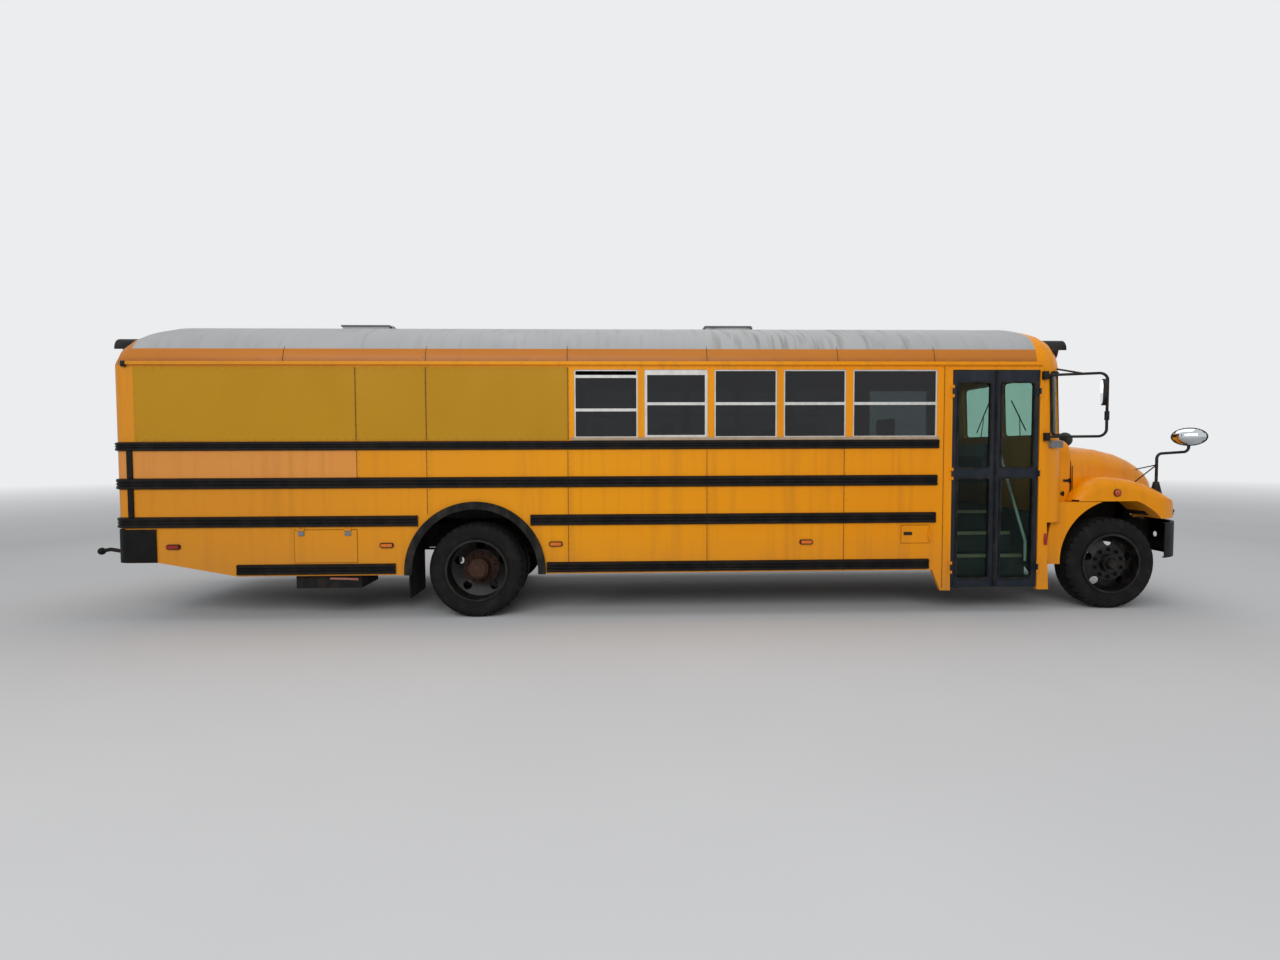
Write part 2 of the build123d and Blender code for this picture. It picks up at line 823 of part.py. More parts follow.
# Rear wall with its rounded corners, the emergency door and two fixed windows
plan_ring = plan_outline(0, front_plane, rear_end) - plan_outline(wall, front_plane, rear_end)
ring = plate_z(plan_ring, rear_panel_bottom, wall_top)
rear_wall = ring & block(rear_end - 1, side_rear, -half_width, half_width, rear_panel_bottom, wall_top)
rear_wall = rear_wall - block(
    rear_end - 1, rear_end + wall + 1, -exit_half - exit_gap, exit_half + exit_gap, exit_foot - exit_gap, exit_head + exit_gap
)
rear_window = (620.0, 1060.0)
for side in (1, -1):
    hole = window(min(side * rear_window[0], side * rear_window[1]),
                  max(side * rear_window[0], side * rear_window[1]), sill, window_head - 60, window_corner)
    rear_wall = rear_wall - plate_x(hole, rear_end - 1, rear_end + wall + 1)
nodes["rear_wall"] = joined([rear_wall] + exit_hinges[1])

# Windscreen frame: the leaning front between the posts, cut for four panes
front_ring = plan_outline(0, front_plane, rear_end) - plan_outline(wall, front_plane, rear_end)
lean = (front_post_foot - front_post_head) / (wall_top - well_bottom)
lean_up = wall_top - cowl_top
front_slice = make_face(
    Polyline(
        (front_post_head + seat_gap, -half_width - 5),
        (front_plane + 10, -half_width - 5),
        (front_plane + 10, half_width + 5),
        (front_post_head + seat_gap, half_width + 5),
        (front_post_head + seat_gap, -half_width - 5),
    ).edges()
)
front_band = front_ring & front_slice
screen_frame = extrude(
    Plane.XY.offset(wall_top) * front_band, amount=lean_up * math.hypot(1, lean), dir=(lean, 0, -1)
)
screen_bottom = cowl_top + 45
screen_top = wall_top - 70
main_pane = (38.0, 860.0)
screen_cut = front_plane + lean * lean_up


def screen_hole(low, high, grow):
    """The hole for one flat pane of the windscreen."""
    hole = window(low - grow, high + grow, screen_bottom - grow, screen_top + grow, 60 + grow)
    return plate_x(hole, front_plane - wall - 30, screen_cut + 30)


def corner_hole(grow):
    """The hole for the curved corner pane, cut through the corner at 45 degrees."""
    size = window(-125 - grow, 125 + grow, screen_bottom - grow, screen_top + grow, 45 + grow)
    cutter = extrude(Plane.YZ * size, amount=260)
    corner = Pos(front_post_head + front_corner * 0.28, half_width - front_corner * 0.72, 0)
    return corner * Rot(0, 0, 45) * cutter


openings = [screen_hole(main_pane[0], main_pane[1], 0), screen_hole(-main_pane[1], -main_pane[0], 0)]
openings.append(corner_hole(0))
openings.append(mirrored(corner_hole(0)))
pane_layer = plan_outline(20, front_plane, rear_end) - plan_outline(20 + glass_thick, front_plane, rear_end)
pane_skin = extrude(
    Plane.XY.offset(wall_top) * (pane_layer & front_slice),
    amount=lean_up * math.hypot(1, lean), dir=(lean, 0, -1)
)
panes = []
for opening in openings:
    panes.append(pane_skin & opening)
    screen_frame = screen_frame - opening
nodes["windscreen_frame"] = screen_frame
nodes["windscreen"] = group(panes)

# Floor with the wheel housings
inner_half = half_width - wall - seat_gap
floor_front = front_plane + lean * (wall_top - floor_top)
floor_plan = plan_outline(wall + seat_gap, floor_front, rear_end)
floor_plate = plate_z(floor_plan, floor_top - floor_thick, floor_top)
floor_ribs = [
    block(station - 30, station + 30, -inner_half, inner_half, rail_top + 0.3, floor_top - floor_thick + 1)
    for station in (-3200, -2400, -1500, -800, 800, 1600, 2400, 3200, 4000, 4600)
]
floor_body = joined([floor_plate] + floor_ribs)
housing = drum(0, housing_inner_y, inner_half, tyre_radius, arch_radius + housing_gap)
housing = housing - block(-800, 800, 0, 1300, -300, floor_top - floor_thick)
hollow = drum(0, housing_inner_y + housing_wall, inner_half + 1, tyre_radius,
              arch_radius + housing_gap - housing_wall)
for side in (1, -1):
    cover = housing if side > 0 else mirrored(housing)
    cut = hollow if side > 0 else mirrored(hollow)
    floor_body = (floor_body + cover) - cut
step_x = (door_rear - 16.0, door_front + 36.0)
step_outer = -half_width + wall + 6
step_inner = step_outer + 3 * step_run + step_plate / 2
well_cut = block(step_x[0] - seat_gap, step_x[1] + seat_gap, -half_width, step_inner + seat_gap, 0, floor_top + 5)
floor_body = floor_body - well_cut
nodes["floor"] = floor_body

# Step well under the entrance door
step_parts = []
for number, height in enumerate(step_heights):
    start = step_outer + number * step_run
    rise = step_heights[number + 1] if number < 2 else floor_top
    step_parts.append(block(*step_x, start, start + step_run, height - step_plate, height))
    step_parts.append(block(*step_x, start + step_run - step_plate / 2, start + step_run + step_plate / 2,
                            height - step_plate, rise))
for x in (step_x[0], step_x[1] - step_plate):
    side_plate = outline(
        Polyline(
            (step_outer, step_heights[0] - step_plate),
            (step_outer + 3 * step_run, step_heights[2] - step_plate),
            (step_outer + 3 * step_run, floor_top),
            (step_outer, floor_top),
            (step_outer, step_heights[0] - step_plate),
        )
    )
    step_parts.append(plate_x(side_plate, x, x + step_plate))
nodes["step_well"] = joined(step_parts)

# Rub rails, drip rails and blanking sheets


def rub_section(centre, height):
    """The section of a pressed rail with two grooves, on the curb side."""
    h = height / 2
    base = half_width + seat_gap
    out = half_width + rub_proud
    deep = out - rub_groove
    return outline(
        Polyline(
            (-base, centre - h),
            (-out, centre - h + 8),
            (-out, centre - h * 0.42),
            (-deep, centre - h * 0.30),
            (-deep, centre - h * 0.22),
            (-out, centre - h * 0.10),
            (-out, centre + h * 0.10),
            (-deep, centre + h * 0.22),
            (-deep, centre + h * 0.30),
            (-out, centre + h * 0.42),
            (-out, centre + h - 8),
            (-base, centre + h),
            (-base, centre - h),
        )
    )


def rub_corner(centre, height):
    """The length of a rail that wraps the rear corner and runs on across the back."""
    section = rub_section(centre, height)
    x, y = side_rear, rear_corner - half_width
    bend = revolve(Plane.YZ.offset(x) * section, axis=Axis((x, y, 0), (0, 0, -1)), revolution_arc=90)
    run = Pos(x, y, 0) * Rot(0, 0, -90) * Pos(-x, -y, 0) * plate_x(section, x - rail_wrap, x)
    return bend + run


rails = []
for centre, height, lengths in rub_rails:
    for low, high in lengths:
        rails.append(plate_x(rub_section(centre, height), low, high))
wrapped = [(centre, height) for centre, height, lengths in rub_rails if lengths[0][0] < rail_uprights[0]]
for centre, height in wrapped:
    rails.append(rub_corner(centre, height))
for upper, lower in zip(wrapped, wrapped[1:]):
    rails.append(block(*rail_uprights, -half_width - upright_proud, -half_width - seat_gap,
                       lower[0] + lower[1] / 2 + seat_gap, upper[0] - upper[1] / 2 - seat_gap))
nodes["rub_rails"] = group(rails + [mirrored(rail) for rail in rails])

drip = block(drip_rear, front_post_head - 20, -half_width - drip_proud, -half_width,
             drip_low, drip_high)
drip = drip - block(rear_end, front_plane, -half_width - drip_proud + 6, -half_width - 6,
                    drip_low + 8, drip_high + 1)
drip = drip + block(drip_rear, front_post_head - 20, -half_width - 6, -half_width + 12,
                    drip_low - 12, drip_low + 8)
drip = drip - block(rear_end, front_plane, -half_width, -half_width + 20, 0, crown)
nodes["drip_rails"] = both(drip)

sheets = []
for low, high in sheet_bays:
    sheets.append(block(low, high, -half_width - sheet_thick, -half_width, sheet_bottom, sheet_top))
    sheets.append(block(low, high, half_width, half_width + sheet_thick, sheet_bottom, sheet_top))
nodes["blanking_sheets"] = group(sheets)

flare = drum(0, -half_width - flare_proud, -half_width, tyre_radius, flare_outer)
flare = flare - drum(0, -half_width - flare_proud - 1, 1 - half_width, tyre_radius, flare_inner)
flare = flare - block(-800, 800, -half_width - 60, -half_width + 10, -300, skirt_bottom)
nodes["arch_flares"] = both(flare)

# Side windows: frames with a bar across the middle, and the panes
frames = []
side_panes = []


def sash_spans(look, bar):
    """The heights between which a window has glass, from the foot up."""
    drop, side, head = look
    low = sill + side
    high = window_head - head
    if not bar:
        return [(low, high)]
    meeting = (sill + window_head) / 2 - drop
    top = window_head - side / 2 - drop - sash_bar / 2 if drop else high
    return [(low, meeting - sash_bar / 2), (meeting + sash_bar / 2, top)]


def sash(low, high, look, bar):
    """A window frame that fits its hole, with a bar where the upper pane overlaps the lower."""
    drop, side, head = look
    spans = sash_spans(look, bar)
    if drop:
        spans = spans + [(spans[1][1] + sash_bar, window_head - head)]
    face = window(low + seat_gap, high - seat_gap, sill + seat_gap, window_head - seat_gap, window_corner)
    for bottom, top in spans:
        face = face - window(low + side, high - side, bottom, top, pane_corner)
    return plate_y(face, sash_recess - half_width, sash_recess + sash_depth - half_width)


def pane(low, high, look, bar):
    """The glass of one window, as one sheet or as an upper and a lower one."""
    side = look[1] + seat_gap
    depth = sash_recess + sash_depth / 2
    return [
        plate_y(window(low + side, high - side, bottom + seat_gap, top - seat_gap, pane_corner),
                depth - half_width, depth + glass_thick - half_width)
        for bottom, top in sash_spans(look, bar)
    ]


for (low, high), look in zip(curb_windows, curb_looks):
    frames += [sash(low, high, look, True), mirrored(sash(low, high, plain_sash, True))]
    side_panes += pane(low, high, look, True)
    side_panes += [mirrored(sheet) for sheet in pane(low, high, plain_sash, True)]
frames.append(mirrored(sash(*driver_window, plain_sash, False)))
side_panes += [mirrored(sheet) for sheet in pane(*driver_window, plain_sash, False)]
nodes["window_frames"] = group(frames)
rear_panes = []
for side in (1, -1):
    low = min(side * rear_window[0], side * rear_window[1]) + 0.3
    high = max(side * rear_window[0], side * rear_window[1]) - 0.3
    hole = window(low, high, sill + 0.3, window_head - 60.3, window_corner)
    rear_panes.append(plate_x(hole, rear_end + 15, rear_end + 15 + glass_thick))
nodes["fixed_glass"] = group(side_panes + rear_panes)

# Entrance door leaves, closed side by side
door_middle = (door_rear + door_front) / 2


def door_leaf(low, high):
    """One leaf: a frame with a middle bar around two panes."""
    y = leaf_face_y
    face = window(low, high, door_foot, door_head, 6)
    glass_x = (low + leaf_stile, high - leaf_stile)
    upper = window(*glass_x, leaf_middle[1], door_head - leaf_top_bar, 30)
    lower = window(*glass_x, door_foot + leaf_bottom_bar, leaf_middle[0], 30)
    return plate_y(face - upper - lower, y, y + leaf_thick)


def leaf_glass(low, high):
    """The two panes of a leaf."""
    y = leaf_face_y + leaf_thick / 2
    glass_x = (low + leaf_stile + 0.3, high - leaf_stile - 0.3)
    upper = window(*glass_x, leaf_middle[1] + 0.3, door_head - leaf_top_bar - 0.3, 30)
    lower = window(*glass_x, door_foot + leaf_bottom_bar + 0.3, leaf_middle[0] - 0.3, 30)
    return group([plate_y(upper, y, y + glass_thick), plate_y(lower, y, y + glass_thick)])


rear_leaf_x = (door_rear, door_middle - leaf_gap / 2)
front_leaf_x = (door_middle + leaf_gap / 2, door_front)
nodes["door_leaf_rear"] = joined([door_leaf(*rear_leaf_x)] + rear_leaf_hinges[0])
nodes["door_leaf_rear_glass"] = leaf_glass(*rear_leaf_x)
nodes["door_leaf_front"] = joined([door_leaf(*front_leaf_x)] + front_leaf_hinges[0])
nodes["door_leaf_front_glass"] = leaf_glass(*front_leaf_x)

# Small skirt doors, a little proud of the wall
def flap_panel(x, z):
    """A flat door plate inside its hole."""
    return block(x[0] + door_clearance, x[1] - door_clearance, flap_face_y, flap_face_y + 25,
                 z[0] + door_clearance, z[1] - door_clearance)


nodes["luggage_hatch"] = joined([flap_panel(hatch_x, hatch_z)] + hatch_hinges[0])
nodes["filler_door"] = joined([flap_panel(filler_x, filler_z)] + filler_hinges[0])

# Rear emergency door with its window
exit_face = window(-exit_half, exit_half, exit_foot, exit_head, 60)
exit_hole = window(-exit_half + 90, exit_half - 90, exit_window[0], exit_window[1], 50)
exit_door = plate_x(exit_face - exit_hole, exit_face_x, exit_face_x + wall)
exit_door = exit_door + block(rear_end - 50, rear_end - 3, 330, 350, 1450, 1600)
nodes["emergency_door"] = joined([exit_door] + exit_hinges[0])
exit_pane = window(-exit_half + 90.3, exit_half - 90.3, exit_window[0] + 0.3, exit_window[1] - 0.3, 50)
nodes["emergency_door_glass"] = plate_x(exit_pane, rear_end + 12, rear_end + 12 + glass_thick)

# Cowl: the body's front below the windscreen, with the rounded box that the hood closes on


def leaning(face, top, foot):
    """A plan drawn for the top of the wall, run between two heights along the leaning front."""
    start = Pos(lean * (wall_top - top), 0, top) * face
    return extrude(start, amount=(top - foot) * math.hypot(1, lean), dir=(lean, 0, -1))


cowl_shell = leaning(front_band, cowl_top - seat_gap, cowl_foot)
box_start = front_plane + lean * (wall_top - cowl_top) - 6


def cowl_box(inset, low, high):
    """The box ahead of the windscreen, rounded along its upper edges."""
    section = window(inset - cowl_half, cowl_half - inset, cowl_foot - 300, cowl_top - 7 - inset,
                     cowl_round - inset)
    return plate_x(section, low, high)


cowl_block = cowl_box(0, box_start, cowl_front)
cowl_rim = cowl_block.edges().filter_by_position(Axis.X, cowl_front - 1, cowl_front + 1)
cowl_front_box = fillet(cowl_rim, cowl_nose_round) - cowl_box(cowl_wall, box_start - 1, cowl_front - cowl_wall)
cowl_front_box = cowl_front_box - block(5000, 7000, -1300, 1300, 0, cowl_foot)
nodes["cowl"] = cowl_shell + cowl_front_box

# Hood and fenders, one tilting moulding


# The hood's rounded shoulder, as shares of the half width and of the rise from shoulder to crest
hood_bend = (0.955, 0.52)
hood_turn = (0.74, 0.86)


def hood_section(base, shoulder, crest, half_base, half_top, inset):
    """A cross-section of the hood: flat sides, rounded shoulders and a low arched top."""
    side = half_top - inset
    rise = crest - inset - shoulder
    bend = (side * hood_bend[0], shoulder + rise * hood_bend[1])
    turn = (side * hood_turn[0], shoulder + rise * hood_turn[1])
    return outline(
        Polyline((side, shoulder), (half_base - inset, base), (inset - half_base, base), (-side, shoulder)),
        ThreePointArc((-side, shoulder), (-bend[0], bend[1]), (-turn[0], turn[1])),
        ThreePointArc((-turn[0], turn[1]), (0, crest - inset), turn),
        ThreePointArc(turn, bend, (side, shoulder)),
    )


# Hood sections: station, shoulder height, crest height, half width at the foot, half width at the top
hood_table = (
    (hood_rear, 1440.0, 1690.0, 985.0, 960.0),
    (6560.0, 1415.0, 1672.0, 860.0, 830.0),
    (6820.0, 1375.0, 1620.0, 770.0, 740.0),
    (7000.0, 1330.0, 1555.0, 710.0, 675.0),
    (7120.0, 1290.0, 1490.0, 665.0, 630.0),
    (7220.0, 1235.0, 1430.0, 625.0, 585.0),
    (hood_nose, 1200.0, 1360.0, 600.0, 540.0),
)


def hood_solid(inset, foot):
    """The hood's outer form, or its hollow when it has an inset."""
    sections = []
    for station, shoulder, crest, half_base, half_top in hood_table:
        x = station
        if inset and station == hood_table[0][0]:
            x = station - 5
        if inset and station == hood_table[-1][0]:
            x = station - inset
        sections.append(
            Plane.YZ.offset(x) * hood_section(foot, shoulder, crest, half_base, half_top, inset)
        )
    return loft(sections, ruled=True)


# Where the front wheel's arch meets the fender's foot and its seam with the skirt
arch_foot_x = wheelbase + math.sqrt(front_arch_radius**2 - (fender_foot - tyre_radius) ** 2)
arch_seam_x = wheelbase + math.sqrt(front_arch_radius**2 - (fender_seam - tyre_radius) ** 2)
arch_reach = (arch_foot_x - wheelbase + arch_seam_x - wheelbase, fender_foot + fender_seam - 2 * tyre_radius)
arch_share = front_arch_radius / math.hypot(*arch_reach)
arch_middle = (wheelbase + arch_reach[0] * arch_share, tyre_radius + arch_reach[1] * arch_share)
fender_side = outline(
    ThreePointArc((6040, fender_seam), (6180, 1285), (6480, 1348)),
    ThreePointArc((6480, 1348), (6860, 1262), (7130, 1112)),
    Polyline((7130, 1112), (hood_nose, fender_foot), (arch_foot_x, fender_foot)),
    ThreePointArc((arch_foot_x, fender_foot), arch_middle, (arch_seam_x, fender_seam)),
    Line((arch_seam_x, fender_seam), (6040, fender_seam)),
)


def nose_plan(inset):
    """The fenders' rounded front corner in plan, as a tall block."""
    nose = hood_nose - inset
    side = fender_outer - inset
    r = nose_corner - inset
    s = math.sqrt(0.5)
    face = outline(
        Polyline((5900, side), (5900, 0), (nose, 0), (nose, side - r)),
        ThreePointArc((nose, side - r), (nose - r * (1 - s), side - r * (1 - s)), (nose - r, side)),
        Line((nose - r, side), (5900, side)),
    )
    return plate_z(face, 800, 1500)


def fender_form(inset):
    """The fender's outer form, or its hollow when it has an inset."""
    side = offset(fender_side, amount=-inset) if inset else fender_side
    outer = fender_outer - inset
    form = plate_y(side, fender_inner - (1 if inset > 0 else 0), outer)
    ridge = form.edges().filter_by_position(Axis.Y, outer - 1, outer + 1).sort_by(Axis.Z)[-2:]
    return fillet(ridge, fender_round - inset) & nose_plan(inset)


open_foot = block(6040 + hood_skin, arch_seam_x, fender_inner - 1, fender_outer - hood_skin,
                  fender_seam - 20, fender_seam + hood_skin + 1)
wheel_room = drum(wheelbase, fender_inner - 1, fender_outer + 1, tyre_radius, arch_radius)
front_room = block(arch_foot_x + hood_skin, hood_nose, fender_inner - 1, fender_outer,
                   fender_foot - 25, fender_foot + 35)
fender = fender_form(0)
fender_shell = fender - fender_form(hood_skin) - open_foot - wheel_room
fender_shell = fender_shell - (front_room & nose_plan(hood_skin))
hood_outer = hood_solid(0, hood_lip)
hood_inner = hood_solid(hood_skin, hood_lip - 20)
hood = (hood_outer + fender_shell + mirrored(fender_shell)) - hood_inner
hood = hood - wheel_room - mirrored(wheel_room)
hood = hood - block(hood_rear - 10, arch_seam_x, -1300, 1300, 0, fender_seam)
hood = hood - (drum(wheelbase, -1300, 1300, tyre_radius, front_arch_radius)
               & block(arch_seam_x - 1, hood_nose, -1300, 1300, 0, fender_seam))
hood = hood - block(6000, hood_rear + 0.5, -cowl_half - 6, cowl_half + 6, 0, 1800)
lamp_y = (690.0, 980.0)
lamp_z = (946.0, 1068.0)
lamp_hole = block(6900, hood_nose + 40, lamp_y[0] - seat_gap, lamp_y[1] + seat_gap,
                  lamp_z[0] - seat_gap, lamp_z[1] + seat_gap)
hood = hood - lamp_hole - mirrored(lamp_hole)
lamp_proud = 5.0
lamp_deep = 50.0
lamp_form = plate_y(offset(fender_side, amount=lamp_proud), fender_inner, fender_outer) & nose_plan(-lamp_proud)
lamp_back = plate_y(offset(fender_side, amount=-lamp_deep), fender_inner - 1, fender_outer + 1)
lamp_form = lamp_form - (lamp_back & nose_plan(lamp_deep))
grille_half = 430.0
grille_z = (950.0, 1290.0)
hood = hood - block(hood_nose - 60, hood_nose + 10, -grille_half, grille_half, *grille_z)
lug_face = tilt_axis[0] + tilt_boss
lug = joined(
    [
        drum(tilt_axis[0], *lug_y, tilt_axis[1], tilt_boss),
        block(tilt_axis[0] - tilt_boss, lug_face, *lug_y, tilt_axis[1], 930),
    ]
)
hood = hood + lug + mirrored(lug)
pin_hole = drum(tilt_axis[0], lug_y[0] - 1, lug_y[1] + 1, tilt_axis[1], tilt_pin + running_gap)
nodes["hood"] = hood - pin_hole - mirrored(pin_hole)

# Grille: a frame with upright slats in the hood's nose
grille_x = (hood_nose - 30.0, hood_nose + 6.0)
grille_frame = block(*grille_x, seat_gap - grille_half, grille_half - seat_gap,
                     grille_z[0] + seat_gap, grille_z[1] - seat_gap)
slat_count = 9
slot_height = (grille_z[1] - grille_z[0] - 60) / slat_count
for number in range(slat_count):
    low = grille_z[0] + 30 + number * slot_height
    grille_frame = grille_frame - block(grille_x[0] - 1, grille_x[1] + 1, 35 - grille_half, grille_half - 35,
                                        low + 9, low + slot_height)
grille_frame = grille_frame + block(*grille_x, -14, 14, grille_z[0] + 20, grille_z[1] - 20)
nodes["grille"] = grille_frame

# Headlamps in the fenders' front
nodes["headlamps"] = both(lamp_form & block(6900, hood_nose + 40, *lamp_y, *lamp_z))

# Fixed fender skirts behind the front wheels
skirt_face = outline(
    Line((5905, 470), (5785, 470)),
    ThreePointArc((5785, 470), (5793, 850), (5890, fender_seam - 6)),
    Line((5890, fender_seam - 6), (6340, fender_seam - 6)),
    ThreePointArc((6340, fender_seam - 6), (6010, 850), (5905, 470)),
)
skirt = plate_y(skirt_face, fender_outer - 150, fender_outer)
skirt_inner = plate_y(offset(skirt_face, amount=-12), fender_outer - 151, fender_outer - 12)
front_form = plan_outline(-seat_gap, front_plane, rear_end) & front_slice
cowl_form = leaning(front_form, cowl_top, cowl_foot - seat_gap)
cowl_form += block(5000, cowl_front + seat_gap, -cowl_half - seat_gap, cowl_half + seat_gap,
                   cowl_foot - seat_gap, cowl_top)
nodes["fender_skirts"] = both((skirt - skirt_inner) - cowl_form)

# Bumpers


def bumper_plan(face, corner, reach, side, inset):
    """The plan of a bumper that wraps the corners, or of its hollow."""
    sign = 1 if face > 0 else -1
    edge = face - sign * inset
    half = side - inset
    r = corner - inset
    s = math.sqrt(0.5)
    return outline(
        Line((reach, half), (edge - sign * r, half)),
        ThreePointArc((edge - sign * r, half), (edge - sign * r * (1 - s), half - r * (1 - s)),
                      (edge, half - r)),
        Line((edge, half - r), (edge, r - half)),
        ThreePointArc((edge, r - half), (edge - sign * r * (1 - s), r * (1 - s) - half),
                      (edge - sign * r, -half)),
        Line((edge - sign * r, -half), (reach, -half)),
        Line((reach, -half), (reach, half)),
    )


def bumper_band(plan, low, high, inner_form):
    """A channel bumper: a face plate with flanges along both edges."""
    whole = plate_z(bumper_plan(*plan, 0), low, high)
    channel = plate_z(bumper_plan(*plan, bumper_plate), low + bumper_plate, high - bumper_plate)
    return whole - channel - inner_form


rear_back = plate_z(plan_outline(-2, front_plane, rear_end), rear_bumper_low - 1, rear_bumper_high + 1)
rear_plan = (rear_bumper_face, 120, rear_bumper_wrap, half_width + 16)
rear_bumper = bumper_band(rear_plan, rear_bumper_low, rear_bumper_high, rear_back)
front_plan = (bumper_face, front_bumper_corner, bumper_face - front_bumper_corner - 10, front_bumper_half)
front_back = plate_z(bumper_plan(*front_plan, bumper_flange), bumper_low - 1, bumper_high + 1)
front_bumper = bumper_band(front_plan, bumper_low, bumper_high, front_back)
front_bumper = front_bumper - block(6000, front_bumper_reach, -1300, 1300, bumper_low - 1, bumper_high + 1)
tow_hole = rod((bumper_face - 20, tow_hole_y, tow_hole_z), (bumper_face + 1, tow_hole_y, tow_hole_z),
               tow_hole_radius)
front_bumper = front_bumper - tow_hole - mirrored(tow_hole)
nodes["bumpers"] = group([rear_bumper, front_bumper])

# Tow coupling at the rear bumper's curb end
neck = joined(
    [
        block(rear_bumper_face - 12, rear_bumper_face, coupling_y - 60, coupling_y + 60, 590, 690),
        tube(
            [
                (rear_bumper_face - 6, coupling_y, 630),
                (coupling_x + 90, coupling_y, coupling_z + 18),
                (coupling_x, coupling_y, coupling_z + 2),
            ],
            19, 60,
        ),
        Pos(coupling_x, coupling_y, coupling_z) * Sphere(ball_radius),
    ]
)
nodes["tow_coupling"] = neck

# Roof hatches: flat lids on the upstands of the roof panels
hatch_names = ("roof_hatch_rear", "roof_hatch_front")
for name, (low, high), pair in zip(hatch_names, hatch_wells, roof_hinges):
    lid = block(low, high, -hatch_half, hatch_half, crown + upstand + seat_gap, crown + hatch_height)
    nodes[name] = joined([lid] + pair[0])

# Warning lamp hoods over the windscreen and the rear door
def lamp_pod(x, y, facing):
    """A round lamp housing with a shade over it, trimmed to the roof's end."""
    z = crown - lamp_drop
    body = rod((x - facing * 200, y, z), (x + facing * 8, y, z), 98)
    shade = rod((x, y, z), (x + facing * lamp_shade, y, z), 98)
    shade = shade - rod((x - facing, y, z), (x + facing * (lamp_shade + 1), y, z), 88)
    shade = shade - block(x - 90, x + 90, y - 120, y + 120, z - 120, z - 10)
    pod = (body + shade) - (front_cap_form if facing > 0 else rear_cap_form)
    return pod.solids().sort_by(SortBy.VOLUME)[-1]


# Mirrors on tube loops at the front posts
def outer_mirror():
    """A mirror head on its tube loop, on the curb side."""
    top = 2375.0
    low = 1765.0
    post_y = -half_width - 30
    loop = tube(
        [
            (front_post_head + 16, post_y, top),
            (mirror_reach_x, -mirror_reach_y, top),
            (mirror_reach_x, -mirror_reach_y, low),
            (front_post_head + 40, post_y, low),
        ],
        mirror_tube, 70,
    )
    pads = [
        block(front_post_head - 15, front_post_head + 30, -half_width - 48, -half_width - 0.3, top - 40, top + 40),
        block(front_post_head + 10, front_post_head + 55, -half_width - 48, -half_width - 0.3, low - 40, low + 40),
    ]
    head = extrude(Plane.YZ * RectangleRounded(*mirror_face, mirror_face_round), amount=mirror_thick / 2, both=True)
    head = Pos(mirror_reach_x - 25, -mirror_reach_y + 12, 2190) * Rot(0, 0, mirror_turn) * head
    clamp = Pos(mirror_reach_x, -mirror_reach_y, 1963) * Cylinder(mirror_tube + 8, 85)
    arm = rod((5815, -1129, 2452), (5945, -1391, top), mirror_tube - 4) - leaning(front_form, wall_top, cowl_top)
    return joined([loop] + pads + [head, clamp, arm.solids().sort_by(SortBy.VOLUME)[-1]])


nodes["rear_view_mirrors"] = both(outer_mirror())


def cross_mirror():
    """An egg-shaped mirror on a cranked post over the fender, on the curb side."""
    foot_z = 1225.0
    foot_x = 6990.0
    y = -cross_mirror_y
    post = tube(
        [
            (foot_x, y, foot_z),
            (foot_x, y, 1590),
            (cross_mirror_x - 5, y, 1610),
            (cross_mirror_x, y, 1720),
        ],
        14, 55,
    )
    egg = scale(Sphere(1), by=cross_mirror_size)
    head = Pos(cross_mirror_x, y, cross_mirror_z) * Rot(0, 0, cross_mirror_turn) * egg
    base = Pos(foot_x, y, foot_z) * Cone(60, 26, 150)
    stays = [rod((foot_x, y, 1475), end, 6) for end in ((7080, -590, 1415), (6840, -850, 1258))]
    whole = joined([base, post, head] + stays) - Pos(0, 0, seat_gap) * mirrored(fender)
    whole = whole - hood_solid(-seat_gap, hood_lip)
    return whole.solids().sort_by(SortBy.VOLUME)[-1]


nodes["cross_view_mirrors"] = both(cross_mirror())

# Cabin
seat_rows = 10
seat_pitch = 720.0
seat_first = -2850.0
seat_width = 960.0
seat_wall_gap = 20.0


def bench(station):
    """A two-place bench: cushion, high back and legs, on the curb side."""
    out = -(half_width - wall - seat_wall_gap)
    inner = out + seat_width
    cushion = block(station - 190, station + 190, out, inner, 1290, 1400)
    back = outline(
        Polyline(
            (station - 170, 1290),
            (station - 250, 1930),
            (station - 330, 1930),
            (station - 265, 1290),
            (station - 170, 1290),
        )
    )
    legs = [
        block(station - 180, station - 140, inner - 140, inner - 100, floor_top, 1291),
        block(station + 100, station + 140, inner - 140, inner - 100, floor_top, 1291),
        block(station - 180, station - 140, out + 60, out + 100, floor_top, 1291),
        block(station + 100, station + 140, out + 60, out + 100, floor_top, 1291),
    ]
    return joined([cushion, plate_y(back, out, inner)] + legs)


benches = []
for number in range(seat_rows):
    station = seat_first + number * seat_pitch
    if abs(station) > 300 + arch_radius:
        benches.append(bench(station))
seats = benches + [mirrored(seat) for seat in benches]

driver_x = 5000.0
driver_y = 560.0
driver_seat = joined(
    [
        block(driver_x - 220, driver_x + 220, driver_y - 240, driver_y + 240, 1330, 1440),
        block(driver_x - 310, driver_x - 200, driver_y - 230, driver_y + 230, 1380, 2050),
        block(driver_x - 140, driver_x + 140, driver_y - 140, driver_y + 140, floor_top, 1332),
    ]
)
nodes["seats"] = group(seats + [driver_seat])

dash = outline(
    Polyline(
        (5480, 1250),
        (5628, 1250),
        (5628, 1700),
        (5560, 1700),
        (5480, 1560),
        (5480, 1250),
    )
)
dash_form = plate_y(dash, -380, inner_half)

